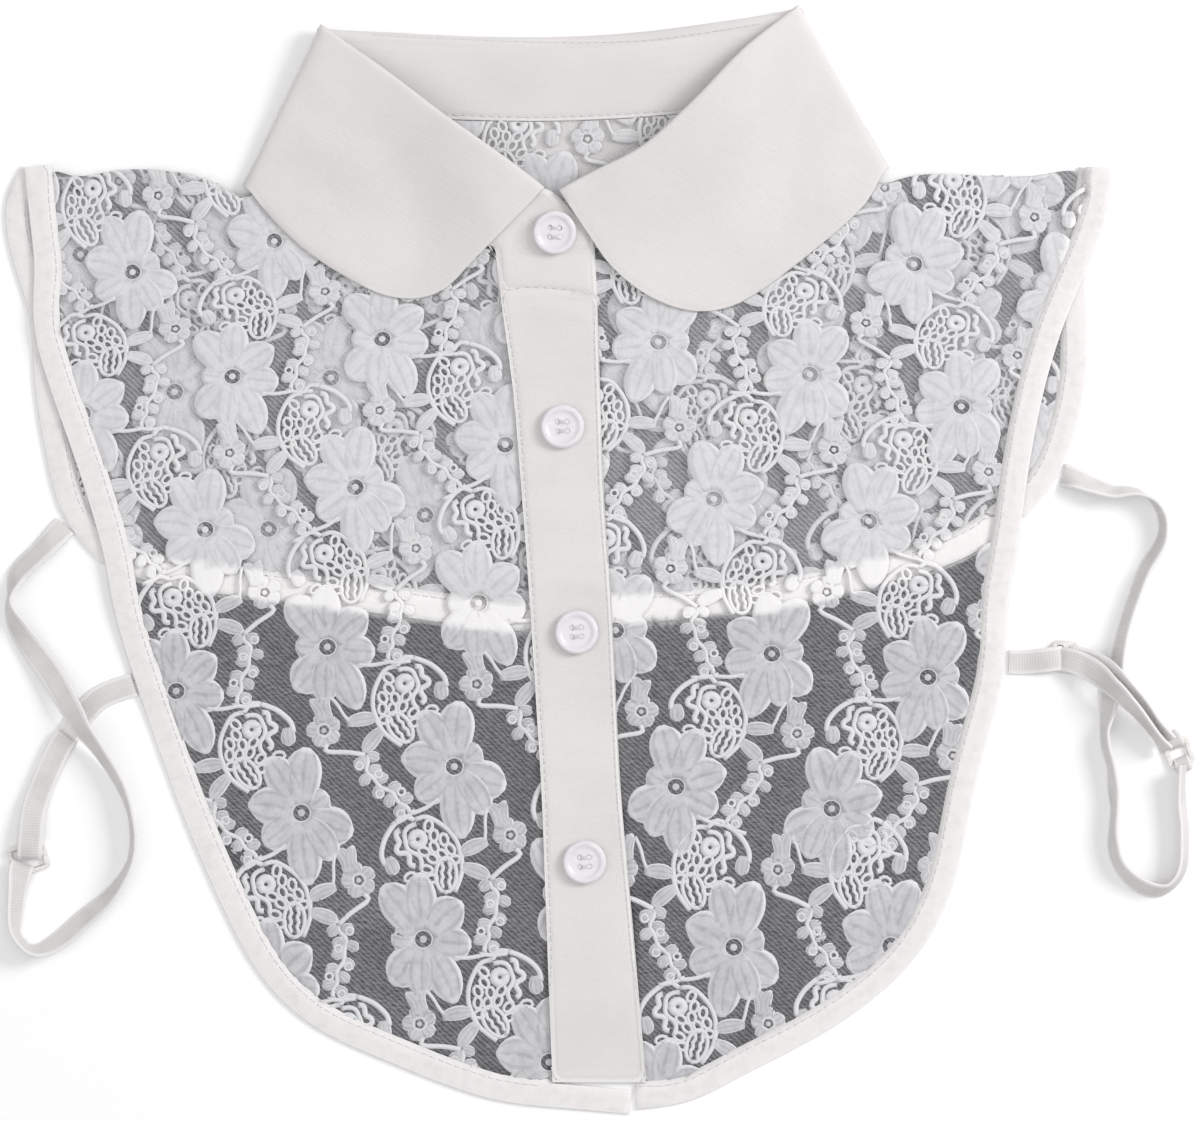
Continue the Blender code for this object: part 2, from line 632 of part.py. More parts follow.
def make_stand(cotton, collection):
    """The stand: a band from the neck seam to the leaf, its front ends lapped."""
    cells = STAND_CELLS
    in_from_fold = FOLD_ROLL + FOLD_LEG + GAP
    top_left = inset(through(FOLD_LEFT, FOLD_POINTS), in_from_fold)
    top_right = inset(through(FOLD_RIGHT, FOLD_POINTS), -in_from_fold)
    top_back = inset(through(FOLD_BACK, BACK_POINTS), -(in_from_fold + BACK_ROLL_EXTRA))
    low_left = through(NECK_FRONT_LEFT, FOLD_POINTS)
    low_right = through(NECK_FRONT_RIGHT, FOLD_POINTS)
    low_back = through(NECK_BACK, BACK_POINTS)

    def rib(low, top, lift=0.0):
        """A front rib from the neck seam up to the fold."""
        up = [low.xy.lerp(top.xy, k / cells) for k in range(cells + 1)]
        return [p + Vector((0, 0, lift)) for p in laid(up, under_front, WALL)]

    def back_rib(low, top):
        """A back rib, which rises softly to the fold."""
        up = [low.xy.lerp(top.xy, k / cells) for k in range(cells + 1)]
        rises = [LAYER + BACK_STAND_RISE * smooth_step(k / cells) for k in range(cells + 1)]
        return [Vector((p.x, p.y, rise + WALL / 2)) for p, rise in zip(up, rises)]

    seam = through(PLACKET_SEAM, len(STAND_END_TOP))[::-1]
    over_end = [rib(low, Vector(top), LAYER) for low, top in zip(seam, STAND_END_TOP)]
    over_end.append(rib(Vector(TAB_CORNER), top_left[TAB_EDGE], LAYER))
    left = [rib(low_left[i], top_left[i]) for i in range(LEFT_START, FOLD_POINTS)]
    right = [rib(low_right[i], top_right[i]) for i in range(RIGHT_START, FOLD_POINTS)]
    under_end = [rib(Vector(one), Vector(two)) for one, two in STAND_UNDER_END]
    back = [back_rib(low_back[i], top_back[i]) for i in range(BACK_POINTS)]
    for ribs, place, out in (
        (left, -1, CREASE_LEFT_OUT),
        (back, 0, CREASE_LEFT_OUT),
        (back, -1, CREASE_RIGHT_OUT),
        (right, -1, CREASE_RIGHT_OUT),
    ):
        back_off = Vector((out.x, out.y, 0)) * (STAND_REACH + STAND_INSIDE)
        rib_in = [p - back_off for p in ribs[place]]
        rib_in[-1] += (rib_in[-2] - rib_in[-1]).normalized() * STAND_CORNER_GAP
        ribs[place] = rib_in
    grid = [
        *over_end,
        *left,
        *turned(left[-1], back[0], CREASE_LEFT_OUT, STAND_REACH),
        *back,
        *turned(right[-1], back[-1], CREASE_RIGHT_OUT, STAND_REACH)[::-1],
        *right[::-1],
        *under_end,
    ]
    cloth("collar_stand", grid, WALL, cotton, collection)


def make_button(number, place, pearl, collection, cutters):
    """A four-hole button with a raised rim, lying on the cloth under it."""
    lift = LAYER + WALL + GAP

    def surface(x, y):
        return under_front(x, y) + lift

    step = SLOPE_STEP
    slope_x = (surface(place.x + step, place.y) - surface(place.x - step, place.y)) / (2 * step)
    slope_y = (surface(place.x, place.y + step) - surface(place.x, place.y - step)) / (2 * step)
    middle = surface(place.x, place.y) + BUTTON_SEAT
    profile = [
        (0, BUTTON_THICK - BUTTON_DISH),
        (BUTTON_RADIUS - BUTTON_RIM - RIM_EASE, BUTTON_THICK - BUTTON_DISH),
        (BUTTON_RADIUS - BUTTON_RIM, BUTTON_THICK),
        (BUTTON_RADIUS - RIM_EASE, BUTTON_THICK),
        (BUTTON_RADIUS, BUTTON_WAIST),
        (BUTTON_RADIUS - BUTTON_UNDER, 0),
        (0, 0),
    ]
    mesh = bpy.data.meshes.new(f"button_{number}")
    shape = bmesh.new()
    ring = [shape.verts.new((x * MM, 0, z * MM)) for x, z in profile]
    for one, two in zip(ring, ring[1:]):
        shape.edges.new((one, two))
    shape.to_mesh(mesh)
    shape.free()
    obj = bpy.data.objects.new(f"button_{number}", mesh)
    turn = obj.modifiers.new("turned", "SCREW")
    turn.steps = turn.render_steps = BUTTON_SIDES
    turn.use_merge_vertices = True
    turn.merge_threshold = 1e-6
    cutter_mesh = bpy.data.meshes.new(f"button_{number}_holes")
    shape = bmesh.new()
    for sx in (-1, 1):
        for sy in (-1, 1):
            made = bmesh.ops.create_cone(
                shape,
                cap_ends=True,
                segments=HOLE_SIDES,
                radius1=HOLE_RADIUS * MM,
                radius2=HOLE_RADIUS * MM,
                depth=4 * BUTTON_THICK * MM,
            )
            offset = Vector((sx * HOLE_OFFSET, sy * HOLE_OFFSET, BUTTON_THICK / 2)) * MM
            bmesh.ops.translate(shape, verts=made["verts"], vec=offset)
    shape.to_mesh(cutter_mesh)
    shape.free()
    cutter = bpy.data.objects.new(f"button_{number}_holes", cutter_mesh)
    cutter.hide_render = True
    cutter.display_type = "WIRE"
    cutters.objects.link(cutter)
    normal = Vector((-slope_x, -slope_y, 1))
    for thing in (obj, cutter):
        thing.location = Vector((place.x, place.y, middle)) * MM
        thing.rotation_euler = normal.to_track_quat("Z", "Y").to_euler()
    cut = obj.modifiers.new("holes", "BOOLEAN")
    cut.operation = "DIFFERENCE"
    cut.object = cutter
    mesh.shade_smooth()
    return finish(obj, pearl, collection)


def make_strap(name, table, elastic, collection):
    """A ribbon of elastic, flat or on its edge as its table turns it."""
    line = through(table, 2 * len(table))
    grid = []
    for i, point in enumerate(line):
        side = across_at(line, i)
        tilt = math.radians(point.w)
        half = STRAP_WIDTH / 2
        wide = Vector((side.x * math.cos(tilt), side.y * math.cos(tilt), math.sin(tilt))) * half
        rise = (half + SEAT) * abs(math.sin(tilt)) + STRAP_THICK / 2 * abs(math.cos(tilt))
        middle = Vector((point.x, point.y, max(point.z, 0) + rise))
        grid.append([middle - wide, middle + wide])
    cloth(name, grid, STRAP_THICK, elastic, collection)


def rounded(width, height, radius, middle):
    """Corner points of a rectangle with round corners, in order round it."""
    made = []
    for k in range(ROUND_POINTS):
        turn = 2 * math.pi * (k + 0.5) / ROUND_POINTS
        sx, sy = math.copysign(1, math.cos(turn)), math.copysign(1, math.sin(turn))
        made.append(
            (
                middle.x + sx * (width / 2 - radius) + radius * math.cos(turn),
                middle.y + sy * (height / 2 - radius) + radius * math.sin(turn),
            )
        )
    return made


def make_plate(name, plate, plastic, collection):
    """A flat plastic ring or slider: a rounded plate with one or two slots."""
    curve = bpy.data.curves.new(name, "CURVE")
    curve.dimensions = "2D"
    curve.fill_mode = "BOTH"
    curve.extrude = HARDWARE_THICK / 2 * MM
    outlines = [rounded(plate.across, plate.along, PLATE_CORNER, Vector((0, 0)))]
    slot = (plate.along - HARDWARE_BAR * (plate.slots + 1)) / plate.slots
    for k in range(plate.slots):
        y = -plate.along / 2 + HARDWARE_BAR + slot / 2 + k * (slot + HARDWARE_BAR)
        outlines.append(
            rounded(plate.across - 2 * HARDWARE_BAR, slot, SLOT_CORNER, Vector((0, y)))
        )
    for outline in outlines:
        spline = curve.splines.new("POLY")
        spline.points.add(len(outline) - 1)
        for point, (x, y) in zip(spline.points, outline):
            point.co = (x * MM, y * MM, 0, 1)
        spline.use_cyclic_u = True
    obj = bpy.data.objects.new(name, curve)
    obj.location = Vector((plate.x, plate.y, HARDWARE_THICK / 2)) * MM
    obj.rotation_euler = (0, 0, math.radians(plate.turn))
    return finish(obj, plastic, collection)


def main():
    """Build the collar."""
    clear_scene()
    garment = bpy.data.collections.new("lace_collar")
    cutters = bpy.data.collections.new("cutters")
    bpy.context.scene.collection.children.link(garment)
    bpy.context.scene.collection.children.link(cutters)
    cotton = material("cotton", COTTON, 0.85)
    lace = material("lace", LACE, 0.8)
    tape = material("tape", TAPE, 0.75)
    elastic = material("elastic", ELASTIC, 0.8)
    pearl = material("pearl", PEARL, 0.25)
    plastic = material("plastic", PLASTIC, 0.4)

    make_back(lace, tape, garment)
    make_front(-1, lace, tape, garment)
    make_front(1, lace, tape, garment)
    make_placket(cotton, garment)
    make_leaf(cotton, garment)
    make_stand(cotton, garment)
    for number, place in enumerate(BUTTONS, 1):
        make_button(number, place, pearl, garment, cutters)
    for name, table in STRAPS.items():
        make_strap(name, table, elastic, garment)
    for name, plate in PLATES.items():
        make_plate(name, plate, plastic, garment)


main()
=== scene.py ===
"""A lace shirt collar laid flat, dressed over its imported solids."""

import logging
import math
from collections.abc import Callable, Sequence
from dataclasses import dataclass, field
from enum import Enum

import bmesh
import bpy
from mathutils import Matrix, Vector
from mathutils.bvhtree import BVHTree
from mathutils.kdtree import KDTree


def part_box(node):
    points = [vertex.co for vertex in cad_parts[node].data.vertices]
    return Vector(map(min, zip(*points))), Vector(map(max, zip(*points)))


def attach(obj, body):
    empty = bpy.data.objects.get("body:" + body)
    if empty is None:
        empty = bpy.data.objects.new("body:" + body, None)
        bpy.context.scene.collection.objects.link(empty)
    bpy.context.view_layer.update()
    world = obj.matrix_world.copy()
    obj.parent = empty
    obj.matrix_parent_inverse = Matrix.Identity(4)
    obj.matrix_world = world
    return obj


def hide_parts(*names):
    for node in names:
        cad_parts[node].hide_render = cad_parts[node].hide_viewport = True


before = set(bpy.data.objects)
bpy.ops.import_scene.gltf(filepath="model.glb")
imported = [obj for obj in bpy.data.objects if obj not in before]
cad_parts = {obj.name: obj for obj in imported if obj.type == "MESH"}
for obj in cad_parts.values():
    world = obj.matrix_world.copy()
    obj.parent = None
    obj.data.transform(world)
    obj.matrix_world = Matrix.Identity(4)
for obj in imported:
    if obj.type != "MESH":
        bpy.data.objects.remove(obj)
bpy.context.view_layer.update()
LOG = logging.getLogger("lace_collar")

MM = 0.001
BODY = "root"
LAID_TURN = 2.7  # degrees that the garment is turned in the picture
QUAD_BEND, QUAD_SKEW = math.radians(50), math.radians(120)
FRONT_NODES = (
    "front_panel_left", "front_panel_right", "front_binding_left", "front_binding_right",
    "placket_top", "placket_under",
)
BACK_NODES = ("back_panel", "back_hem_binding", "back_binding_left", "back_binding_right")


class Slot(Enum):
    """The record's material slots."""

    COTTON = "cotton"
    LACE = "lace"
    TAPE = "tape"
    ELASTIC = "elastic"
    PEARL = "pearl"
    PLASTIC = "plastic"


def smooth_step(value: float) -> float:
    """An easy curve from 0 at 0 to 1 at 1.

    Args:
        value: Any number.

    Returns:
        The eased value, held between 0 and 1.
    """
    held = min(max(value, 0.0), 1.0)
    return held * held * (3 - 2 * held)


def linear(red: int, green: int, blue: int) -> tuple[float, float, float, float]:
    """A screen colour as the shader's linear one.

    Args:
        red: Red, 0 to 255.
        green: Green, 0 to 255.
        blue: Blue, 0 to 255.

    Returns:
        Linear red, green and blue, and an alpha of 1.
    """
    made = [(c / 255 / 12.92) if c <= 10 else ((c / 255 + 0.055) / 1.055) ** 2.4
            for c in (red, green, blue)]
    return (made[0], made[1], made[2], 1.0)


# Shader nodes as expressions


class Value:
    """A shader socket whose sums add Math nodes."""

    def __init__(self, recipe: "Recipe", socket: bpy.types.NodeSocket) -> None:
        """Keep the socket and the recipe that its nodes go into."""
        self.recipe = recipe
        self.socket = socket

    def _sum(self, operation: str, first: "Value | float", second: "Value | float") -> "Value":
        """Add a Math node.

        Args:
            operation: The node's operation.
            first: Its first value.
            second: Its second value.

        Returns:
            The node's result.
        """
        return self.recipe.node("ShaderNodeMath", {"operation": operation}, {0: first, 1: second})

    def __add__(self, other: "Value | float") -> "Value":
        """Sum."""
        return self._sum("ADD", self, other)

    __radd__ = __add__

    def __sub__(self, other: "Value | float") -> "Value":
        """Difference."""
        return self._sum("SUBTRACT", self, other)

    def __rsub__(self, other: "Value | float") -> "Value":
        """Difference from a number."""
        return self._sum("SUBTRACT", other, self)

    def __mul__(self, other: "Value | float") -> "Value":
        """Product."""
        return self._sum("MULTIPLY", self, other)

    __rmul__ = __mul__

    def __truediv__(self, other: "Value | float") -> "Value":
        """Quotient."""
        return self._sum("DIVIDE", self, other)

    def __rtruediv__(self, other: "Value | float") -> "Value":
        """Quotient of a number."""
        return self._sum("DIVIDE", other, self)

    def most(self, other: "Value | float") -> "Value":
        """The larger of two."""
        return self._sum("MAXIMUM", self, other)

    def least(self, other: "Value | float") -> "Value":
        """The smaller of two."""
        return self._sum("MINIMUM", self, other)

    def wave(self) -> "Value":
        """A sine wave of it, between 0 and 1."""
        return self.recipe.node("ShaderNodeMath", {"operation": "SINE"}, {0: self}) * 0.5 + 0.5

    def size(self) -> "Value":
        """Its absolute value."""
        return self.recipe.node("ShaderNodeMath", {"operation": "ABSOLUTE"}, {0: self})

    def step(self, low: float, high: float) -> "Value":
        """Ease it from 0 to 1.

        Args:
            low: Where the result is 0.
            high: Where the result is 1.

        Returns:
            The eased value.
        """
        settings = {"interpolation_type": "SMOOTHSTEP"}
        return self.recipe.node("ShaderNodeMapRange", settings, {0: self, 1: low, 2: high})


class Recipe:
    """The nodes of one material."""

    def __init__(self, name: str) -> None:
        """Start a material of that name with its Principled shader."""
        self.material = bpy.data.materials.new(name)
        self.material.use_nodes = True
        self.tree = self.material.node_tree
        self.shader = self.tree.nodes["Principled BSDF"]

    def put(self, socket: bpy.types.NodeSocket, value: object) -> None:
        """Link or set one input.

        Args:
            socket: The input.
            value: A Value to link, or a number, vector or colour to set.
        """
        if isinstance(value, Value):
            self.tree.links.new(value.socket, socket)
        else:
            socket.default_value = value

    def node(
        self, kind: str, settings: dict | None = None, values: dict | None = None,
        out: int | str = 0,
    ) -> Value:
        """Add a node.

        Args:
            kind: The node's type.
            settings: Its own settings, set first; "stops" are a ramp's.
            values: Its inputs by name or number.
            out: The output wanted.

        Returns:
            That output.
        """
        made = self.tree.nodes.new(kind)
        for key, value in (settings or {}).items():
            if key == "stops":
                ramp = made.color_ramp
                while len(ramp.elements) < len(value):
                    ramp.elements.new(0.5)
                for element, (place, colour) in zip(ramp.elements, value):
                    element.position, element.color = place, colour
            else:
                setattr(made, key, value)
        for key, value in (values or {}).items():
            self.put(made.inputs[key], value)
        return Value(self, made.outputs[out])

    def place(self) -> Value:
        """Object coordinates in millimetres."""
        spot = self.node("ShaderNodeTexCoord", out="Object")
        return self.node("ShaderNodeVectorMath", {"operation": "SCALE"}, {0: spot, "Scale": 1 / MM})

    def turned(self, place: Value, degrees: float, scale: tuple = (1, 1, 1)) -> Value:
        """Turn a place about Z.

        Args:
            place: The coordinates.
            degrees: The turn.
            scale: Scale on each axis.

        Returns:
            The turned coordinates.
        """
        values = {"Vector": place, "Rotation": (0, 0, math.radians(degrees)), "Scale": scale}
        return self.node("ShaderNodeMapping", {"vector_type": "POINT"}, values)

    def axes(self, place: Value) -> tuple[Value, Value, Value]:
        """The three numbers of a vector.

        Args:
            place: The vector.

        Returns:
            Its x, y and z.
        """
        first = self.node("ShaderNodeSeparateXYZ", None, {0: place})
        outputs = first.socket.node.outputs
        return first, Value(self, outputs[1]), Value(self, outputs[2])

    def noise(self, place: Value, scale: float, detail: float = 2.0) -> Value:
        """Soft noise.

        Args:
            place: Where, in millimetres.
            scale: Cells in a millimetre.
            detail: Its octaves.

        Returns:
            The noise, about 0.5.
        """
        return self.node(
            "ShaderNodeTexNoise", None, {"Vector": place, "Scale": scale, "Detail": detail}
        )

    def uv(self) -> tuple[Value, Value]:
        """The piece's own map: across from -1 to 1, and along.

        Returns:
            The two numbers.
        """
        across, along, _ = self.axes(self.node("ShaderNodeTexCoord", out="UV"))
        return across, along

    def attribute(self, name: str) -> Value:
        """A number stored on the piece's points."""
        return self.node("ShaderNodeAttribute", {"attribute_name": name}, out="Fac")

    def mix(self, share: Value | float, first: object, second: object) -> Value:
        """Blend two colours.

        Args:
            share: How much of the second.
            first: A colour.
            second: A colour.

        Returns:
            The blend.
        """
        return self.node("ShaderNodeMix", {"data_type": "RGBA"}, {0: share, 6: first, 7: second}, 2)

    def done(
        self, colour: Value, roughness: Value | float, height: Value | None = None,
        depth: float = 0.0, **fixed: object,
    ) -> bpy.types.Material:
        """Finish the shader.

        Args:
            colour: Base Color.
            roughness: Roughness.
            height: What the bump reads, 0 to 1.
            depth: The bump's depth in millimetres.
            **fixed: Other inputs of the shader, with _ for a space.

        Returns:
            The material.
        """
        self.put(self.shader.inputs["Base Color"], colour)
        self.put(self.shader.inputs["Roughness"], roughness)
        if height is not None:
            values = {"Height": height, "Distance": depth * MM, "Strength": 1.0}
            self.put(self.shader.inputs["Normal"], self.node("ShaderNodeBump", None, values))
        for key, value in fixed.items():
            self.put(self.shader.inputs[key.replace("_", " ")], value)
        return self.material


# Finishes


@dataclass(frozen=True)
class Cotton:
    """Plain woven shirting, with a painted highlight on its turned edge and a painted shadow line beside it."""

    name: str
    colour: tuple = linear(230, 226, 225)
    # shade: the darker tone of the random mottling and of the painted shadow line beside the turned edge
    shade: tuple = linear(214, 211, 211)
    # edge: the painted highlight on the turned edge
    edge: tuple = linear(240, 238, 238)
    threads: float = 2.6  # in a millimetre
    turn: float = 0.0
    fold: float = 1.3  # width of the turned edge
    # seen sets how strongly the painted highlight on the turned edge and the painted shadow line beside it show, with
    # their bump
    seen: float = 0.45  # how much the turned edge shows

    def material(self) -> bpy.types.Material:
        """Weave, soft slubs, faint tone, and, by the distance from the rim, a painted highlight on the turned edge and
        a painted shadow line beside it.
        """
        recipe = Recipe(self.name)
        place = recipe.turned(recipe.place(), self.turn)
        x, y, _ = recipe.axes(place)
        rate = 2 * math.pi * self.threads
        warp, weft = (x * rate).wave(), (y * rate).wave()
        over = (x * (rate / 2) + y * (rate / 2)).wave()
        weave = warp * over + weft * (1 - over)
        slub = recipe.noise(recipe.turned(place, 0, (0.12, 1.6, 1)), 0.9, 3)
        tone = recipe.noise(place, 0.022, 4).step(0.35, 0.7)
        far = recipe.attribute("edge")
        # turned: where the painted highlight on the turned edge lies
        turned = 1 - far.step(self.fold - 0.3, self.fold + 0.1)
        # seam: a painted shadow line in the stitch groove beside the turned edge, where the bump also sinks
        seam = far.step(self.fold, self.fold + 0.3) * (1 - far.step(self.fold + 0.5, self.fold + 1.2))
        grey = (tone * 0.45 + slub * 0.3 + weave * 0.1 + seam * (0.5 * self.seen)).least(1.0)
        cloth = recipe.mix(grey, self.colour, self.shade)
        colour = recipe.mix(turned * self.seen, cloth, self.edge)
        height = weave * 0.5 + slub * 0.7 + (turned * 2.4 - seam * 1.2) * self.seen
        return recipe.done(colour, 0.86, height, 0.1, Specular_IOR_Level=0.25)


@dataclass(frozen=True)
class Net:
    """Fine net whose diagonal threads cross, grey where nothing white lies behind."""

    name: str
    thread: tuple = linear(150, 150, 153)
    hollow: tuple = linear(62, 62, 65)
    white: tuple = linear(222, 222, 225)
    turn: float = 46.0
    period: float = 1.35

    def material(self) -> bpy.types.Material:
        """Threads over their own dark hollows; sheer where the attribute says."""
        recipe = Recipe(self.name)
        place = recipe.place()
        wander = recipe.noise(place, 0.55, 2)
        x, y, _ = recipe.axes(recipe.turned(place, self.turn))
        rate = 2 * math.pi / self.period
        ribs = (y * rate + wander * 5.0).wave()
        cross = (x * (rate * 1.7) + wander * 3.0).wave()
        broken = recipe.noise(recipe.turned(place, self.turn, (0.5, 2.2, 1)), 0.8, 2).step(0.3, 0.7)
        cover = (ribs * 0.5 + cross * 0.18 + broken * 0.42).least(1.0)
        shade = recipe.noise(place, 0.03, 2).step(0.3, 0.75)
        solid = recipe.mix((cover * (shade * 0.2 + 0.72)).least(1.0), self.hollow, self.thread)
        double = recipe.attribute("double")
        colour = recipe.mix(double, solid, self.white)
        alpha = 1 - double * (1 - cover * 0.13 * (1 - recipe.attribute("hem")))
        return recipe.done(colour, 0.9, cover, 0.12, Specular_IOR_Level=0.2, Alpha=alpha)


@dataclass(frozen=True)
class Embroidery:
    """Filled lace: satin rows with a brighter worked edge."""

    name: str
    fill: tuple = linear(205, 205, 208)
    edge: tuple = linear(236, 236, 238)
    vein: tuple = linear(170, 170, 174)
    full: tuple = linear(219, 218, 220)  # with lace under it
    hem: tuple = linear(240, 238, 239)  # with the hem's tape under it

    def material(self) -> bpy.types.Material:
        """Edge and veins by the piece's own map, rows by its place."""
        recipe = Recipe(self.name)
        across, along = recipe.uv()
        place = recipe.place()
        wander = recipe.noise(place, 0.5, 3)
        rim = across.size().step(0.7, 0.98).most(along.step(0.86, 0.995))
        cord = 1 - along.step(-0.06, -0.01)  # cords run backwards on their map
        pleats = (across * 9.0 + wander * 2.4).wave() * along.step(0.02, 0.25)
        cloud = recipe.noise(place, 0.16, 3).step(0.3, 0.72)
        dark = pleats.step(0.55, 1.0) * 0.42 + wander.step(0.35, 0.75) * 0.34 + cloud * 0.34
        dark = dark.least(1.0) * (1 - recipe.attribute("double") * 0.45)
        fill = recipe.mix(recipe.attribute("double"), self.fill, self.full)
        double = recipe.attribute("double")
        lines = rim.most(cord * 0.7) * (0.8 - double * 0.25)
        worked = recipe.mix(lines, recipe.mix(dark, fill, self.vein), self.edge)
        colour = recipe.mix(recipe.attribute("hem") * 0.96, worked, self.hem)
        rows = (along * 60.0 + wander * 6.0).wave()
        height = rows * 0.3 + rim * 0.5 + wander * 0.5 - pleats * 0.5
        return recipe.done(colour, 0.78, height, 0.07, Specular_IOR_Level=0.2)


@dataclass(frozen=True)
class Tape:
    """Bias tape: close weave, puckered beside its stitches, with a painted highlight along its folds."""

    name: str
    colour: tuple = linear(240, 236, 236)
    shade: tuple = linear(220, 217, 218)
    # edge: the painted highlight along the folded edges
    edge: tuple = linear(245, 243, 243)

    def material(self) -> bpy.types.Material:
        """Diagonal weave, soft puckers, and a painted highlight on the folded edges."""
        recipe = Recipe(self.name)
        place = recipe.place()
        x, y, _ = recipe.axes(recipe.turned(place, 45))
        weave = (x * 15.0).wave() * (y * 15.0).wave()
        pucker = recipe.noise(place, 0.3, 3)
        far = recipe.attribute("edge")
        # turned: where the painted highlight along the folded edges lies
        turned = 1 - far.step(0.2, 0.9)
        grey = (pucker.step(0.4, 0.8) * 0.45 + weave * 0.15 + far.step(1.5, 4.0) * 0.15).least(1.0)
        colour = recipe.mix(turned * 0.6, recipe.mix(grey, self.colour, self.shade), self.edge)
        return recipe.done(colour, 0.8, weave * 0.4 + pucker * 1.4, 0.16, Specular_IOR_Level=0.3)


@dataclass(frozen=True)
class Elastic:
    """Flat elastic: cross ribs and fine cords, with a painted highlight along both edges and painted shade in their
    grooves.
    """

    name: str
    colour: tuple = linear(224, 221, 220)
    # shade: the darker tone of the random mottling and of the painted shade in the grooves
    shade: tuple = linear(184, 181, 181)
    # edge: the painted highlight along both edges
    edge: tuple = linear(235, 233, 233)
    ribs: float = 1.1  # in a millimetre

    def material(self) -> bpy.types.Material:
        """Ribs along the band's own map, in millimetres, with painted shade in the grooves and a painted highlight on
        the edges.
        """
        recipe = Recipe(self.name)
        across, along = recipe.uv()
        ribs = (along * (2 * math.pi * self.ribs)).wave()
        cords = (across * 22.0).wave()
        # edge: where the painted highlight along both edges lies
        edge = across.size().step(0.62, 0.8)
        tone = recipe.noise(recipe.place(), 0.12, 2).step(0.3, 0.75)
        # the grooves between ribs and between cords, low in the bump, get painted shade
        body = recipe.mix((tone * 0.3 + (1 - ribs) * 0.16 + (1 - cords) * 0.1).least(1.0), self.colour, self.shade)
        colour = recipe.mix(edge * 0.8, body, self.edge)
        return recipe.done(colour, 0.72, ribs * 0.6 + cords * 0.3, 0.08, Specular_IOR_Level=0.3)


@dataclass(frozen=True)
class Pearl:
    """A pearly shirt button."""

    name: str
    colour: tuple = linear(230, 227, 230)
    bloom: tuple = linear(222, 218, 226)

    def material(self) -> bpy.types.Material:
        """Cloudy layers under a gloss."""
        recipe = Recipe(self.name)
        place = recipe.place()
        cloud = recipe.noise(recipe.turned(place, 25, (0.5, 1.4, 1)), 0.35, 3)
        colour = recipe.mix(cloud.step(0.3, 0.75), self.colour, self.bloom)
        return recipe.done(colour, cloud * 0.12 + 0.32, cloud, 0.05, Coat_Weight=0.25)


@dataclass(frozen=True)
class Plastic:
    """The moulded plastic of the strap rings."""

    name: str
    colour: tuple = linear(233, 230, 227)
    shade: tuple = linear(218, 214, 211)

    def material(self) -> bpy.types.Material:
        """Faint flow marks under a dull gloss."""
        recipe = Recipe(self.name)
        place = recipe.place()
        flow = recipe.noise(recipe.turned(place, 10, (0.4, 1.5, 1)), 0.6, 2)
        colour = recipe.mix(flow.step(0.35, 0.7), self.colour, self.shade)
        return recipe.done(colour, flow * 0.15 + 0.3, flow, 0.03)


@dataclass(frozen=True)
class Sewing:
    """Twisted sewing thread."""

    name: str
    colour: tuple = linear(236, 234, 236)
    shade: tuple = linear(214, 211, 215)

    def material(self) -> bpy.types.Material:
        """Its twist, along the stitch's own map, with painted shade in the twist's grooves."""
        recipe = Recipe(self.name)
        across, along = recipe.uv()
        twist = (along * 40.0 + across * 3.0).wave()
        # the grooves of the twist, low in the bump, get painted shade
        colour = recipe.mix(1 - twist, self.colour, self.shade)
        return recipe.done(colour, 0.6, twist, 0.05)


# Meshes


def copied(*nodes: str) -> bmesh.types.BMesh:
    """A merged copy of CAD nodes, its triangles joined to four-sided faces.

    Args:
        *nodes: The nodes' names.

    Returns:
        The copy.
    """
    shape = bmesh.new()
    for node in nodes:
        shape.from_mesh(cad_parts[node].data)
    bmesh.ops.remove_doubles(shape, verts=shape.verts, dist=1e-6)
    bmesh.ops.join_triangles(
        shape, faces=shape.faces, angle_face_threshold=QUAD_BEND,
        angle_shape_threshold=QUAD_SKEW,
    )
    return shape


def finished(
    shape: bmesh.types.BMesh, name: str, modifiers: Sequence[tuple[str, dict]]
) -> bmesh.types.BMesh:
    """A mesh with modifiers carried out.

    Args:
        shape: The mesh, which is used up.
        name: A name for the working object.
        modifiers: Each modifier's type and settings.

    Returns:
        The finished mesh.
    """
    mesh = bpy.data.meshes.new(name)
    shape.to_mesh(mesh)
    shape.free()
    work = bpy.data.objects.new(name, mesh)
    bpy.context.scene.collection.objects.link(work)
    for kind, settings in modifiers:
        modifier = work.modifiers.new(kind.lower(), kind)
        for key, value in settings.items():
            setattr(modifier, key, value)
    made = bmesh.new()
    made.from_object(work, bpy.context.evaluated_depsgraph_get())
    bpy.data.objects.remove(work)
    bpy.data.meshes.remove(mesh)
    return made


def subsurf(levels: int) -> tuple[str, dict]:
    """A Subdivision Surface of that many levels, shown as rendered."""
    return ("SUBSURF", {"levels": levels, "render_levels": levels})


def creased(shape: bmesh.types.BMesh, rim: float, corner: float = 38.0) -> None:
    """Hold a wall's rim, and the corners of its outline, under subdivision.

    Args:
        shape: The wall.
        rim: The crease on its sharp edges.
        corner: The turn of the outline, in degrees, from which a corner stays sharp.
    """
    layer = shape.edges.layers.float.get("crease_edge") or shape.edges.layers.float.new("crease_edge")
    sharp = [e for e in shape.edges if e.is_manifold and e.calc_face_angle(0) > math.radians(50)]
    for edge in sharp:
        edge[layer] = rim
    held = set(sharp)
    for vert in shape.verts:
        rims = [e for e in vert.link_edges if e in held and abs((e.other_vert(vert).co - vert.co).normalized().z) < 0.7]
        if len(rims) == 2:
            one, two = ((e.other_vert(vert).co - vert.co).normalized() for e in rims)
            if math.degrees(one.angle(-two, 0)) > corner:
                for edge in vert.link_edges:
                    if edge in held:
                        edge[layer] = 1.0


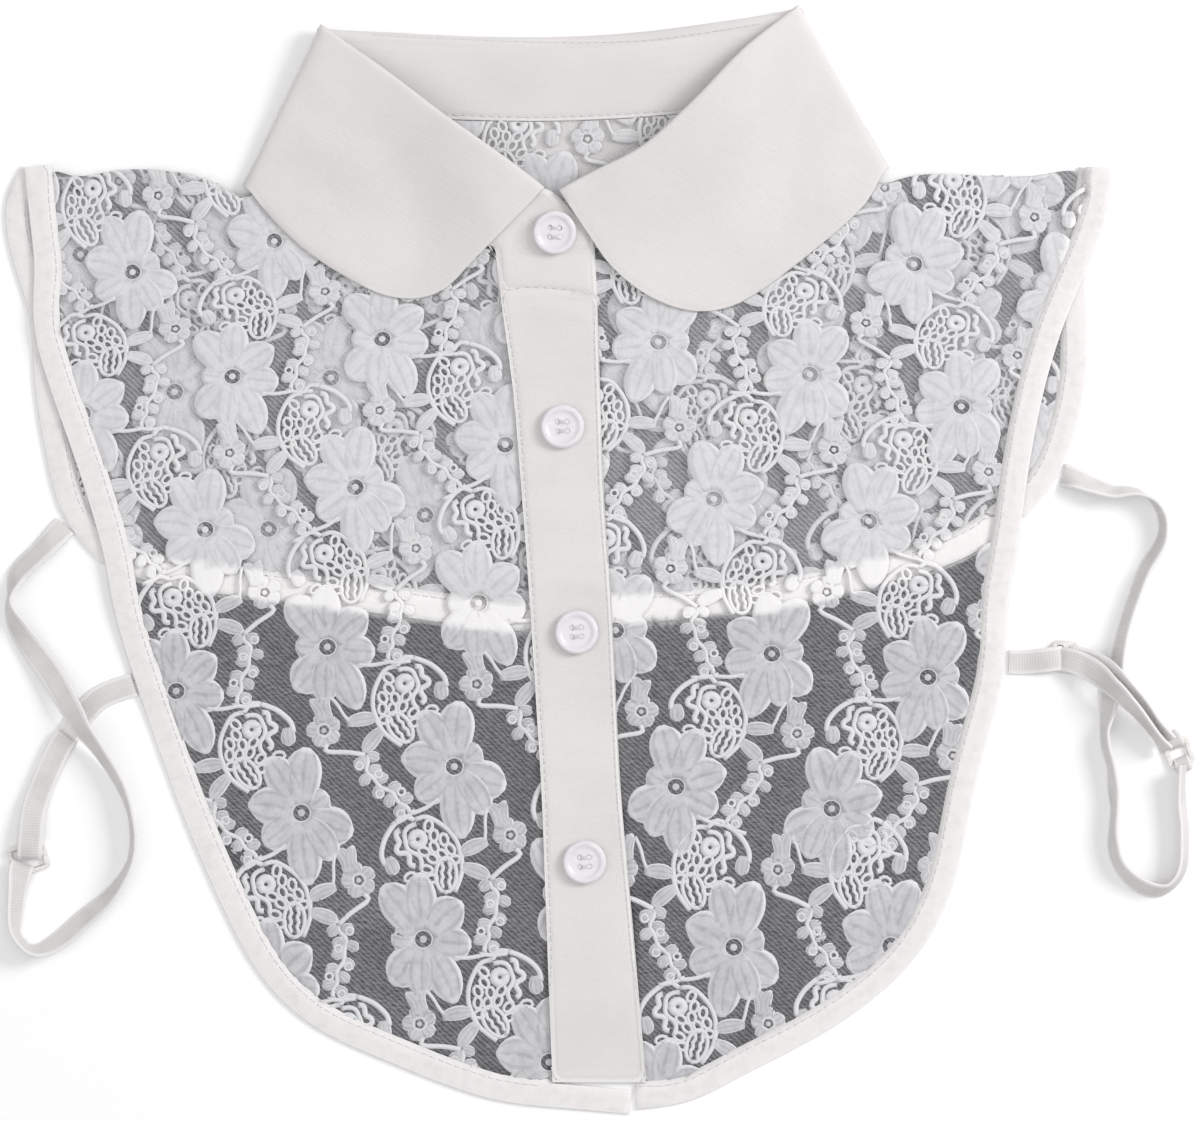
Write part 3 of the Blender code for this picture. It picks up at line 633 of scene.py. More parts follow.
def piece(
    shape: bmesh.types.BMesh, name: str, finish: object, slot: Slot, replaced: Sequence[str] = (),
) -> bpy.types.Object:
    """Turn a mesh into a finished piece of the garment.

    Args:
        shape: The mesh, which is used up.
        name: The piece's name.
        finish: A finish, or a material.
        slot: The record's slot; not used.
        replaced: The CAD nodes that it stands for.

    Returns:
        The object.
    """
    mesh = bpy.data.meshes.new(name)
    shape.to_mesh(mesh)
    shape.free()
    mesh.shade_smooth()
    mesh.materials.append(finish)
    made = bpy.data.objects.new(name, mesh)
    bpy.context.scene.collection.objects.link(made)
    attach(made, BODY)
    if replaced:
        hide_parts(*replaced)
    LOG.info("%s: %d faces", name, len(mesh.polygons))
    return made


def through(points: Sequence[Sequence[float]], count: int) -> list[Vector]:
    """Evenly spaced points on the smooth curve through some points.

    Args:
        points: Points with any number of columns.
        count: How many are wanted.

    Returns:
        The new points.
    """
    rows = [Vector(row) for row in points]
    fine = [rows[0]]
    for i in range(len(rows) - 1):
        before, start = rows[max(i - 1, 0)], rows[i]
        end, after = rows[i + 1], rows[min(i + 2, len(rows) - 1)]
        for k in range(1, 9):
            t = k / 8
            fine.append((
                start * 2 + (end - before) * t
                + (before * 2 - start * 5 + end * 4 - after) * t**2
                + (start * 3 - before - end * 3 + after) * t**3
            ) / 2)
    run = [0.0]
    for one, two in zip(fine, fine[1:]):
        run.append(run[-1] + (two - one).length)
    spaced, seek = [], 0
    for k in range(count):
        want = run[-1] * k / (count - 1)
        while seek < len(run) - 2 and run[seek + 1] < want:
            seek += 1
        share = (want - run[seek]) / max(run[seek + 1] - run[seek], 1e-9)
        spaced.append(fine[seek].lerp(fine[seek + 1], min(share, 1.0)))
    return spaced


def table_at(table: Sequence[tuple[float, float]], place: float) -> float:
    """Read a short table of pairs, straight between its rows.

    Args:
        table: Rows of a place and a value, in order.
        place: Where to read it.

    Returns:
        The value there.
    """
    for (one, low), (two, high) in zip(table, table[1:]):
        if place <= two:
            return low + (high - low) * (place - one) / (two - one)
    return table[-1][1]


def band(
    shape: bmesh.types.BMesh, points: Sequence[Sequence[float]], half: Callable[[float], float],
    rise: Callable[[float, float], float], across: int, along: int, length: float = 1.0,
) -> list[bmesh.types.BMVert]:
    """A flat band along a curve, made from one grid.

    Args:
        shape: The mesh that it goes into.
        points: The curve, in millimetres.
        half: Half the width at each share of the length.
        rise: The height at a place across (-1 to 1) and along (0 to 1).
        across: Cells across.
        along: Cells along.
        length: What the map reads at the far end.

    Returns:
        Its vertices.
    """
    line = through(points, along + 1)
    made = bmesh.ops.create_grid(shape, x_segments=across, y_segments=along, size=1.0)["verts"]
    layer = shape.loops.layers.uv.verify()
    last = len(line) - 1
    closed = (line[0] - line[-1]).length < 1e-4
    for vert in made:
        u, share = vert.co.x, (vert.co.y + 1) / 2
        i = round(share * last)
        before = line[i - 1] if i else (line[-2] if closed else line[0])
        after = line[i + 1] if i < last else (line[1] if closed else line[-1])
        way = (after - before).to_3d().normalized()
        side = Vector((way.y, -way.x, 0))
        for loop in vert.link_loops:
            loop[layer].uv = (u, share * length)
        spot = line[i].to_3d()
        spot.z = 0
        vert.co = (spot + side * (u * half(share)) + Vector((0, 0, rise(u, share)))) * MM
    return made


# The soft lie of the cloth


@dataclass(frozen=True)
class Ridge:
    """A soft ridge, or a trough if its height is negative, along a line in plan."""

    start: tuple[float, float]
    end: tuple[float, float]
    height: float
    width: float
    bow: float = 0.0

    def at(self, x: float, y: float) -> float:
        """Its height at a place.

        Args:
            x: In millimetres.
            y: In millimetres.

        Returns:
            The height there.
        """
        dx, dy = self.end[0] - self.start[0], self.end[1] - self.start[1]
        long = math.hypot(dx, dy)
        share = ((x - self.start[0]) * dx + (y - self.start[1]) * dy) / (long * long)
        if not -0.25 < share < 1.25:
            return 0.0
        off = ((x - self.start[0]) * dy - (y - self.start[1]) * dx) / long
        off += self.bow * math.sin(math.pi * share)
        if abs(off) > 3 * self.width:
            return 0.0
        ends = smooth_step((share + 0.25) / 0.45) * smooth_step((1.25 - share) / 0.45)
        return self.height * ends * math.exp(-((off / self.width) ** 2))


# Ridges of the whole front, which every layer of it shares
FRONT_RIDGES = (
    Ridge((-160, 96), (-120, 88), 0.9, 7, 2),
    Ridge((-150, -30), (-96, -52), 0.8, 8, -3),
    Ridge((-112, -96), (-70, -122), 0.9, 7, 2),
    Ridge((60, -132), (96, -104), 0.9, 8, -2),
    Ridge((100, -40), (134, -30), 0.7, 7, 1),
    Ridge((118, 92), (160, 104), 0.9, 7, -2),
    Ridge((-24, 20), (10, 12), 0.5, 5, 1),
    Ridge((-22, -60), (8, -68), 0.45, 6, 1),
)


def front_lift(x: float, y: float) -> float:
    """How far the front's ridges raise it at a place.

    Args:
        x: In millimetres.
        y: In millimetres.

    Returns:
        The height there.
    """
    return sum(ridge.at(x, y) for ridge in FRONT_RIDGES)


LEAF_RIDGES = (
    Ridge((-88, 150), (-62, 112), 0.8, 10, 3), Ridge((-60, 146), (-46, 104), -0.5, 8, 2),
    Ridge((-98, 132), (-74, 108), 0.6, 7, 2), Ridge((70, 150), (52, 104), 0.7, 12, -3),
    Ridge((38, 130), (24, 98), -0.35, 9, 2), Ridge((92, 140), (84, 112), 0.55, 8, -2),
    Ridge((-40, 132), (-24, 112), 0.4, 6, 2), Ridge((-84, 168), (-70, 150), 0.4, 6, -1),
)
PLACKET_RIDGES = (
    Ridge((-20, 62), (6, 66), 0.34, 2.6, 1), Ridge((-20, 30), (0, 34), 0.3, 2.2, -1),
    Ridge((-18, -4), (6, -8), 0.34, 2.6, 1), Ridge((-17, -44), (2, -40), 0.3, 2.4, 1),
    Ridge((-18, -80), (8, -84), 0.36, 3.0, -1), Ridge((-18, -124), (6, -119), 0.36, 3.0, 1),
    Ridge((-14, -150), (10, -146), 0.3, 2.8, -1), Ridge((-12, 84), (4, 82), 0.3, 2.4, 1),
    Ridge((-20, 18), (4, 14), -0.2, 2.2, 1), Ridge((-18, -60), (6, -64), -0.22, 2.6, -1),
)


def leaf_lift(x: float, y: float) -> float:
    """The front's ridges and the leaf's own."""
    return front_lift(x, y) + sum(ridge.at(x, y) for ridge in LEAF_RIDGES)


def placket_lift(x: float, y: float) -> float:
    """The front's ridges and the placket's own, its lower end pressed towards the binding."""
    end = 0.34 * smooth_step((-166 - y) / 6)
    return front_lift(x, y) + sum(ridge.at(x, y) for ridge in PLACKET_RIDGES) - end


LIFTS = {"collar_leaf": leaf_lift, "placket_top": placket_lift}


def lifted(shape: bmesh.types.BMesh, lift: Callable[[float, float], float]) -> None:
    """Raise every vertex by a height that depends on its place in plan.

    Args:
        shape: The mesh.
        lift: The height, in millimetres, at a place.
    """
    for vert in shape.verts:
        high = smooth_step((vert.co.z / MM - 0.2) / 1.2) if lift is leaf_lift else 1.0
        vert.co.z += lift(vert.co.x / MM, vert.co.y / MM) * MM * high


def rim_points(shape: bmesh.types.BMesh, gap: float = 0.7) -> KDTree:
    """Points along the rim of a CAD cloth.

    Args:
        shape: The cloth's copy, before it is softened.
        gap: Millimetres between them.

    Returns:
        A tree of the points.
    """
    spots = []
    for edge in shape.edges:
        if edge.is_manifold and edge.calc_face_angle(0) > math.radians(50):
            one, two = (vert.co for vert in edge.verts)
            count = max(int((two - one).length / MM / gap), 1)
            spots += [one.lerp(two, k / count) for k in range(count + 1)]
    tree = KDTree(len(spots))
    for i, spot in enumerate(spots):
        tree.insert(spot, i)
    tree.balance()
    return tree


def mark_edge(shape: bmesh.types.BMesh, rim: KDTree) -> None:
    """Store on each point how far it is from the rim, in millimetres.

    Args:
        shape: The softened cloth.
        rim: Points along its rim.
    """
    layer = shape.verts.layers.float.new("edge")
    for vert in shape.verts:
        vert[layer] = rim.find(vert.co)[2] / MM


def pressed(shape: bmesh.types.BMesh, deep: float, reach: float) -> None:
    """Iron a cloth thin along its rim.

    Args:
        shape: The cloth, its edge distances stored.
        deep: How much each side gives, in millimetres.
        reach: How far from the rim it starts.
    """
    layer = shape.verts.layers.float["edge"]
    shape.normal_update()
    for vert in shape.verts:
        if vert[layer] < reach and abs(vert.normal.z) > 0.3:
            vert.co -= vert.normal * (deep * MM * (1 - smooth_step(vert[layer] / reach)))


def soft_wall(
    nodes: Sequence[str], rim: float = 0.75, levels: int = 2,
    lift: Callable[[float, float], float] = front_lift,
) -> bmesh.types.BMesh:
    """A CAD cloth's copy with soft rims and the ridges of the cloth.

    Args:
        nodes: The CAD nodes.
        rim: The crease that holds the rims.
        levels: Levels of subdivision.
        lift: How far each place is raised.

    Returns:
        The mesh.
    """
    shape = copied(*nodes)
    shape.normal_update()
    edges = rim_points(shape)
    creased(shape, rim)
    made = finished(shape, "soft_wall", [subsurf(levels)])
    mark_edge(made, edges)
    pressed(made, 0.28, 1.6)
    lifted(made, lift)
    return made


# Lace


class Ground:
    """A lace panel's top, which motifs are laid on and trimmed to."""

    def __init__(self, shape: bmesh.types.BMesh) -> None:
        """Read the panel.

        Args:
            shape: The panel's net, whose upper faces carry the motifs.
        """
        self.tree = BVHTree.FromBMesh(shape)
        flat = shape.copy()
        for vert in flat.verts:
            vert.co.z = 0
        self.plan = BVHTree.FromBMesh(flat)
        flat.free()

    def height(self, place: Vector) -> float:
        """Height of the net at a place in plan."""
        hit = self.tree.ray_cast(Vector((place.x, place.y, 1)), Vector((0, 0, -1)))[0]
        return hit.z if hit else self.tree.find_nearest(place)[0].z

    def lay(self, shape: bmesh.types.BMesh) -> None:
        """Trim a flat drawing to the panel and lay it on the net.

        Args:
            shape: The drawing, its relief in Z.
        """
        outside = {}
        for vert in shape.verts:
            spot = Vector((vert.co.x, vert.co.y, 0))
            near, _, _, far = self.plan.find_nearest(spot)
            if far > 1e-6:
                outside[vert] = near
        lost = [f for f in shape.faces if all(v in outside for v in f.verts)]
        bmesh.ops.delete(shape, geom=lost, context="FACES")
        for vert in shape.verts:
            if vert in outside:
                vert.co.x, vert.co.y = outside[vert].x, outside[vert].y
            vert.co.z += self.height(vert.co)


def crown(rise: float, edge: float = 0.0) -> Callable[[float, float], float]:
    """A band's height: full in the middle and low along both sides.

    Args:
        rise: The height in the middle.
        edge: The height at the sides.

    Returns:
        The height at a place across and along.
    """
    return lambda u, v: edge + (rise - edge) * (1 - u * u)


@dataclass
class Flower:
    """The repeat of the lace: one large flower and what stands round it, in its own axes."""

    relief: float = 0.09
    flatten: float = 0.6
    petals: tuple = (
        # turn, tip, width, how pointed, bend
        (322, 18.1, 13.2, 0.35, -0.6), (202, 15.9, 11.6, 0.2, 0.6), (69, 22, 12.6, 0.25, 0.6),
        (103.5, 21.7, 11.4, 0.3, -0.5), (154, 17.7, 13.0, 0.6, -0.8), (260, 23.7, 11.6, 0.45, -0.6),
        (287, 18.6, 10.8, 0.3, 0.6),
    )

    def petal(
        self, shape: bmesh.types.BMesh, turn: float, start: float, tip: float, width: float,
        point: float, bend: float, level: float, cells: tuple[int, int] = (6, 9),
        middle: tuple[float, float] = (0, 0),
    ) -> None:
        """One petal or leaf.

        Args:
            shape: The drawing.
            turn: Its direction in degrees.
            start: Where it begins, from the middle.
            tip: Where it ends.
            width: Its greatest width.
            point: 0 for a round tip, 1 for a sharp one.
            bend: How far its middle line bows.
            level: How high it lies.
            cells: Cells across and along.
            middle: The flower's middle.
        """
        way = Vector((math.cos(math.radians(turn)), math.sin(math.radians(turn))))
        side = Vector((-way.y, way.x))
        base = Vector(middle)
        line = [
            base + way * (start + (tip - start) * t) + side * (bend * math.sin(math.pi * t))
            for t in (0, 0.25, 0.5, 0.75, 1)
        ]
        widths = (
            (0, 0.5), (0.15, 0.74), (0.35, 0.94), (0.55, 1.0), (0.72, 0.96 - 0.12 * point),
            (0.85, 0.8 - 0.26 * point), (0.94, 0.56 - 0.34 * point), (1, 0.24 - 0.2 * point),
        )

        def rise(u: float, v: float) -> float:
            """Raised edge, hollow before it, low outside."""
            edge = max(abs(u), smooth_step((v - 0.72) / 0.28))
            if edge > 0.97:
                return 0.02
            return 0.03 + level + self.relief * (0.35 + 0.65 * smooth_step((edge - 0.5) / 0.35))

        made = band(shape, line, lambda v: width / 2 * table_at(widths, v), rise, *cells)
        for vert in made:
            vert.co.z = min(vert.co.z, 0.3 * MM)

    def cord(
        self, shape: bmesh.types.BMesh, points: Sequence[tuple], width: float, cells: int,
        rise: float = 0.19, wave: float = 0.0, waves: float = 0.0,
    ) -> None:
        """A raised outline cord.

        Args:
            shape: The drawing.
            points: The points that it follows.
            width: Its width.
            cells: Cells along.
            rise: Its height.
            wave: How far it swings from side to side.
            waves: How many times.
        """
        line = through(points, max(cells, 2) + 1)
        if wave:
            swung = []
            for i, spot in enumerate(line):
                way = (line[min(i + 1, cells)] - line[max(i - 1, 0)]).normalized()
                off = wave * math.sin(2 * math.pi * waves * i / cells)
                swung.append(spot + Vector((-way.y, way.x)) * off)
            line = swung
        band(shape, line, lambda v: width / 2, crown(rise, 0.0), 2, cells, -1.0)

    def ring(
        self, shape: bmesh.types.BMesh, middle: tuple[float, float], radius: float, width: float,
        sides: int = 14, squash: float = 1.0, turn: float = 0.0, rise: float = 0.19,
    ) -> None:
        """A worked ring.

        Args:
            shape: The drawing.
            middle: Its middle.
            radius: Its radius to the middle of the cord.
            width: The cord's width.
            sides: Cells round it.
            squash: Its breadth over its length.
            turn: The direction of its length, in degrees.
            rise: Its height.
        """
        angle = math.radians(turn)
        line = []
        for k in range(sides + 1):
            a = 2 * math.pi * (k % sides) / sides
            p = Vector((radius * math.cos(a), radius * squash * math.sin(a)))
            line.append(Vector(middle) + Vector((
                p.x * math.cos(angle) - p.y * math.sin(angle),
                p.x * math.sin(angle) + p.y * math.cos(angle),
            )))
        band(shape, line, lambda v: width / 2, crown(rise, 0.0), 2, sides, -1.0)

    def dot(
        self, shape: bmesh.types.BMesh, middle: tuple[float, float], radius: float,
        rise: float = 0.2, sides: int = 10,
    ) -> None:
        """A worked dot.

        Args:
            shape: The drawing.
            middle: Its middle.
            radius: Its radius.
            rise: Its height.
            sides: Sides round it.
        """
        made = bmesh.ops.create_cone(
            shape, cap_ends=True, cap_tris=True, segments=sides, radius1=radius * MM,
            radius2=radius * 0.55 * MM, depth=rise * MM,
        )["verts"]
        offset = Vector((middle[0], middle[1], rise / 2)) * MM
        bmesh.ops.translate(shape, verts=made, vec=offset)

    def big_flower(self, shape: bmesh.types.BMesh) -> None:
        """The large flower."""
        for k in range(8):
            self.petal(shape, 45 * k + 20, 2.9, 10.6, 9.5, 0.0, 0, 0.0, (4, 5))
        for k, (turn, tip, width, point, bend) in enumerate(self.petals):
            self.petal(shape, turn, 2.9, tip, width, point, bend, 0.02 + 0.012 * k)
        self.ring(shape, (0, 0), 3.0, 0.5, 16, rise=0.22)
        self.dot(shape, (0, 0), 1.2)

    def fan(self, shape: bmesh.types.BMesh) -> None:
        """The fan over the flower: two arcs, a disc, wavy lines, beads and a long loop."""
        self.cord(shape, ((-2.4, 39.1), (0.6, 36.9), (3.2, 34.2), (5.3, 30.2), (5.2, 26.6)), 1.7, 14)
        self.petal(shape, -100, -3.0, 3.2, 4.9, 0.0, 0, 0.02, (4, 6), (3.1, 25.9))
        self.cord(shape, (
            (-8.3, 38), (-12.7, 37.8), (-17.6, 32.6), (-19.6, 27.7), (-19.7, 23.8),
            (-18.6, 17.7), (-14.4, 11.8),
        ), 1.5, 22)
        self.ring(shape, (-7.6, 31.7), 2.0, 2.7, 14)
        self.cord(shape, ((-2.9, 36.2), (-0.2, 31.6), (-2.1, 28.1), (-4.4, 23.6)), 1.8, 22, 0.17, 0.95, 2.5)
        self.cord(shape, ((-8.6, 36.6), (-3.9, 34.9), (-3.4, 30.3), (-6.3, 26.6), (-5.8, 21.9)), 1.5, 20, 0.16, 0.4, 2)
        for k, (x, y) in enumerate((
            (-12.2, 34.9), (-13.0, 31.4), (-15.8, 29.2), (-12.0, 27.7), (-16.9, 25.6),
            (-13.9, 24.6), (-10.4, 24.4), (-8.4, 27.3), (-7.6, 21.4), (-4.9, 19.4), (-8.3, 18.1),
            (-17.2, 21.9), (-1.6, 20.6),
        )):
            self.ring(shape, (x, y), 2.0, 1.1, 9, 0.66, 118 - 11 * k, 0.15)
        self.ring(shape, (-13.2, 18.0), 5.7, 1.3, 20, 0.6, -72)
        way = Vector((math.cos(math.radians(-72)), math.sin(math.radians(-72))))
        side = Vector((-way.y, way.x))
        for off, reach in ((-1.2, 4.6), (1.25, 4.4)):
            base = Vector((-13.2, 18.0)) + side * off
            self.cord(shape, (base - way * reach, base, base + way * reach), 1.2, 12, 0.15, 0.3, 3)

    def sprig(self, shape: bmesh.types.BMesh) -> None:
        """The small flower, its eyelet and its stem."""
        middle = (14.8, 24.4)
        for k in range(5):
            self.petal(shape, 72 * k + 12, 1.4, 5.8, 5.3, 0.0, 0.2, 0.01 * (k % 2), (4, 5), middle)
        self.ring(shape, middle, 2.15, 0.7, 12)
        self.dot(shape, middle, 0.85)
        self.petal(shape, 84, -4.3, 4.6, 4.6, 0.3, 1.6, 0.02, (4, 7), (18.4, 31.6))
        self.petal(shape, 100, -4.3, 4.4, 4.2, 0.3, -1.5, 0.03, (4, 7), (14.0, 31.4))
        self.cord(shape, ((14.8, 20), (13.6, 17.4), (20.1, 15.0), (25.4, 12.4)), 1.6, 12)
        self.cord(shape, ((19.6, 35.4), (21.4, 31.4), (22.4, 27.6), (23.6, 24.8)), 1.1, 8)

    def vine(self, shape: bmesh.types.BMesh) -> None:
        """The beaded vine, the leaves at its head and the cords that join the repeats."""
        line = through((
            (-26.4, 12.4), (-27.2, 7.2), (-26.3, 3.2), (-23.4, -0.6), (-20.8, -4.6), (-18.2, -10.2),
        ), 16)
        self.cord(shape, line, 1.5, 20, 0.15, 0.5, 3.5)
        for i, side in (
            (0, 1), (1, -1), (3, 1), (4, -1), (6, 1), (7, -1), (9, 1), (10, -1), (12, 1), (13, -1),
        ):
            way = line[i + 1] - line[i]
            turn = math.degrees(math.atan2(way.y, way.x)) + 62 * side
            self.petal(shape, turn, 0.2, 4.6, 3.9, 0.0, 0.35 * side, 0.0, (3, 4), tuple(line[i]))
        for i, side in ((2, -1), (5, 1), (8, -1), (11, 1), (14, -1)):
            way = (line[i + 1] - line[i - 1]).normalized()
            nub = line[i] + Vector((-way.y, way.x)) * 2.5 * side
            self.ring(shape, tuple(nub), 1.25, 0.95, 8)
        self.petal(shape, -8, -5.2, 5.2, 5.0, 0.5, 0.5, 0.02, (6, 7), (-24.3, 23.8))
        self.petal(shape, 216, -5.0, 5.0, 5.0, 0.3, -0.3, 0.04, (6, 7), (-22.9, 16.2))
        self.cord(shape, ((-7.8, -8.2), (-11.5, -9.9), (-15, -10.5), (-18.3, -10.6)), 1.4, 8)
        self.cord(shape, ((-18.6, 17.7), (-19.4, 19.9), (-20.2, 22.9)), 1.2, 5)
        self.cord(shape, ((-2.4, 39.1), (-5.4, 40.2), (-8.3, 38)), 1.6, 5)
        self.cord(shape, ((-16.2, -9.8), (-20.4, -11.6), (-25.2, -12.4)), 1.4, 6)

    def drawn(self, mirrored: bool) -> bpy.types.Mesh:
        """The whole repeat as one flat mesh.

        Args:
            mirrored: Whether left and right are changed.

        Returns:
            The mesh, its relief in Z.
        """
        shape = bmesh.new()
        self.big_flower(shape)
        self.fan(shape)
        self.sprig(shape)
        self.vine(shape)
        bmesh.ops.scale(shape, vec=(-1 if mirrored else 1, 1, self.flatten), verts=shape.verts)
        bmesh.ops.remove_doubles(shape, verts=shape.verts, dist=2e-6)
        shape.normal_update()
        low = [f for f in shape.faces if f.normal.z < 0]
        bmesh.ops.reverse_faces(shape, faces=low)
        mesh = bpy.data.meshes.new("repeat")
        shape.to_mesh(mesh)
        shape.free()
        return mesh


@dataclass
class Row:
    """One row of the lace's repeats: a flower, and the step to the next one, in millimetres."""

    x: float
    y: float
    step_x: float
    step_y: float


LEFT_ROWS = {
    5: Row(-130.9, 154.7, 47.3, 8.0), 4: Row(-144.9, 103.6, 47.3, 8.0),
    3: Row(-113.6, 67.8, 50.0, 10.0), 2: Row(-74.8, 29.3, 50.2, 11.7),
    1: Row(-86.5, -23.0, 50.6, 12.2), 0: Row(-46.5, -64.5, 51.2, 12.9),
    -1: Row(-59.4, -121.1, 50.8, 12.5), -2: Row(-19.8, -163.6, 50.8, 12.5),
}
RIGHT_ROWS = {
    5: Row(147.9, 134.9, 49.0, -12.0), 4: Row(113.0, 94.1, 49.0, -12.0),
    3: Row(77.0, 59.5, 49.5, -13.0), 2: Row(43.4, 19.8, 50.7, -9.7),
    1: Row(60.1, -32.2, 51.2, -10.2), 0: Row(26.4, -74.6, 51.1, -9.7),
    -1: Row(43.0, -128.6, 51.8, -2.0), -2: Row(16.0, -178.0, 52.0, 0.0),
}
BACK_ROWS = {
    k: Row(-104.1 + 24.4 * k - 1.5 * k, 16.8 + 49 * k, 51.8, 2.2) for k in range(-1, 4)
}


@dataclass
class LacePanel:
    """One panel of lace: its net and the motifs on it."""

    node: str
    rows: dict[int, Row]
    mirrored: int
    under: tuple[str, ...]
    lift: Callable[[float, float], float]
    net_thick: float = 0.25
    work_thick: float = 0.6
    repeat: float = 52.0
    drop: float = 51.0
    reach: float = 45.0

    def net(self) -> bmesh.types.BMesh:
        """The panel's upper face as fine net.

        Returns:
            The face, one layer thin.
        """
        shape = copied(self.node)
        shape.normal_update()
        under = [f for f in shape.faces if f.normal.z < 0.5]
        bmesh.ops.delete(shape, geom=under, context="FACES")
        made = finished(shape, "net", [subsurf(3)])
        lifted(made, self.lift)
        return made

    def mark(self, shape: bmesh.types.BMesh, name: str, nodes: Sequence[str], ease: float) -> None:
        """Store on each point how surely some pieces lie under it.

        Args:
            shape: The net or its motifs.
            name: The attribute's name.
            nodes: The CAD nodes of the pieces.
            ease: Millimetres over which it fades.
        """
        layer = shape.verts.layers.float.new(name)
        if nodes:
            plan = plan_of(*nodes)
            for vert in shape.verts:
                far = plan.find_nearest(Vector((vert.co.x, vert.co.y, 0)))[3]
                vert[layer] = 1 - smooth_step(far / MM / ease)

    def drawn(self, repeats: dict[bool, bpy.types.Mesh]) -> bmesh.types.BMesh:
        """The panel's whole drawing, flat, from its rows of repeats.

        Args:
            repeats: The plain and the mirrored repeat.

        Returns:
            The drawing.
        """
        low, high = (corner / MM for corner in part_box(self.node))
        drawing = bmesh.new()
        for number, row in self.rows.items():
            origin, step = Vector((row.x, row.y)), Vector((row.step_x, row.step_y))
            normal = Vector((-step.y, step.x)).normalized()
            rises = []
            for other in (number + 1, number - 1):
                near = self.rows.get(other)
                gap = Vector((near.x, near.y)) - origin if near else normal * self.drop
                rises.append(abs(gap.dot(normal)) / self.drop)
            for column in range(-6, 7):
                spot = origin + step * column
                if not (low.x < spot.x + self.reach and spot.x - self.reach < high.x):
                    continue
                if not (low.y < spot.y + self.reach and spot.y - self.reach < high.y):
                    continue
                start = len(drawing.verts)
                drawing.from_mesh(repeats[(number % 2) == self.mirrored])
                drawing.verts.ensure_lookup_table()
                for vert in drawing.verts[start:]:
                    x, y = vert.co.x / MM, vert.co.y / MM
                    place = spot + step * (x / self.repeat) + normal * (y * rises[y < 0])
                    vert.co.x, vert.co.y = place.x * MM, place.y * MM
        return drawing

    def build(
        self, net: bpy.types.Material, work: bpy.types.Material, repeats: dict,
        tapes: Sequence[bpy.types.Object],
    ) -> None:
        """Make the net and its motifs.

        Args:
            net: The net's material.
            work: The motifs' material.
            repeats: The plain and the mirrored repeat.
            tapes: The tapes sewn round the panel; not used.
        """
        shape = self.net()
        ground = Ground(shape)
        hem = [node for node in self.under if "binding" in node]
        self.mark(shape, "double", self.under, 0.8)
        self.mark(shape, "hem", hem, 0.5)
        drawing = self.drawn(repeats)
        ground.lay(drawing)
        self.mark(drawing, "hem", hem, 0.5)
        self.mark(drawing, "double", self.under if hem else (self.node,), 2.0)
        wall = ("SOLIDIFY", {"thickness": self.net_thick * MM, "offset": -1})
        cloth = piece(finished(shape, "net", [wall]), f"{self.node}_net", net, Slot.LACE, [self.node])
        thin = ("SOLIDIFY", {"thickness": self.work_thick * MM, "offset": -1})
        motifs = piece(finished(drawing, "motifs", [thin]), f"{self.node}_motifs", work, Slot.LACE)
        low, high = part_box(self.node)


def plan_of(*nodes: str) -> BVHTree:
    """The plan of some CAD nodes, flat at zero height.

    Args:
        *nodes: Their names.

    Returns:
        A tree of the flat faces.
    """
    flat = bmesh.new()
    for node in nodes:
        flat.from_mesh(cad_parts[node].data)
    for vert in flat.verts:
        vert.co.z = 0
    plan = BVHTree.FromBMesh(flat)
    flat.free()
    return plan


@dataclass
class Bindings:
    """The bias tapes round the lace, lapped over its edge."""

    lap: float = 0.6

    def build(self, tape: bpy.types.Material, hem: bpy.types.Material) -> dict[str, list]:
        """Make each tape.

        Args:
            tape: Their material.
            hem: The material of the back panel's hem.

        Returns:
            The tapes of each panel.
        """
        made: dict[str, list] = {}
        for node, panel in (
            ("front_binding_left", "front_panel_left"), ("front_binding_right", "front_panel_right"),
            ("back_binding_left", "back_panel"), ("back_binding_right", "back_panel"),
            ("back_hem_binding", "back_panel"),
        ):
            front = node.startswith("front")
            shape = soft_wall([node], 0.6, 2, front_lift if front else no_lift)
            plan = plan_of(panel)
            for vert in shape.verts:
                spot = Vector((vert.co.x, vert.co.y, 0))
                near, _, _, far = plan.find_nearest(spot)
                if 1e-6 < far < 1.1 * MM:
                    move = (near - spot).normalized() * (far + self.lap * MM)
                    vert.co.x += move.x
                    vert.co.y += move.y
            finish = hem if node == "back_hem_binding" else tape
            sewn = piece(shape, f"{node}_tape", finish, Slot.TAPE, [node])
            made.setdefault(panel, []).append(sewn)
        return made


def no_lift(x: float, y: float) -> float:
    """Nothing is raised."""
    return 0.0


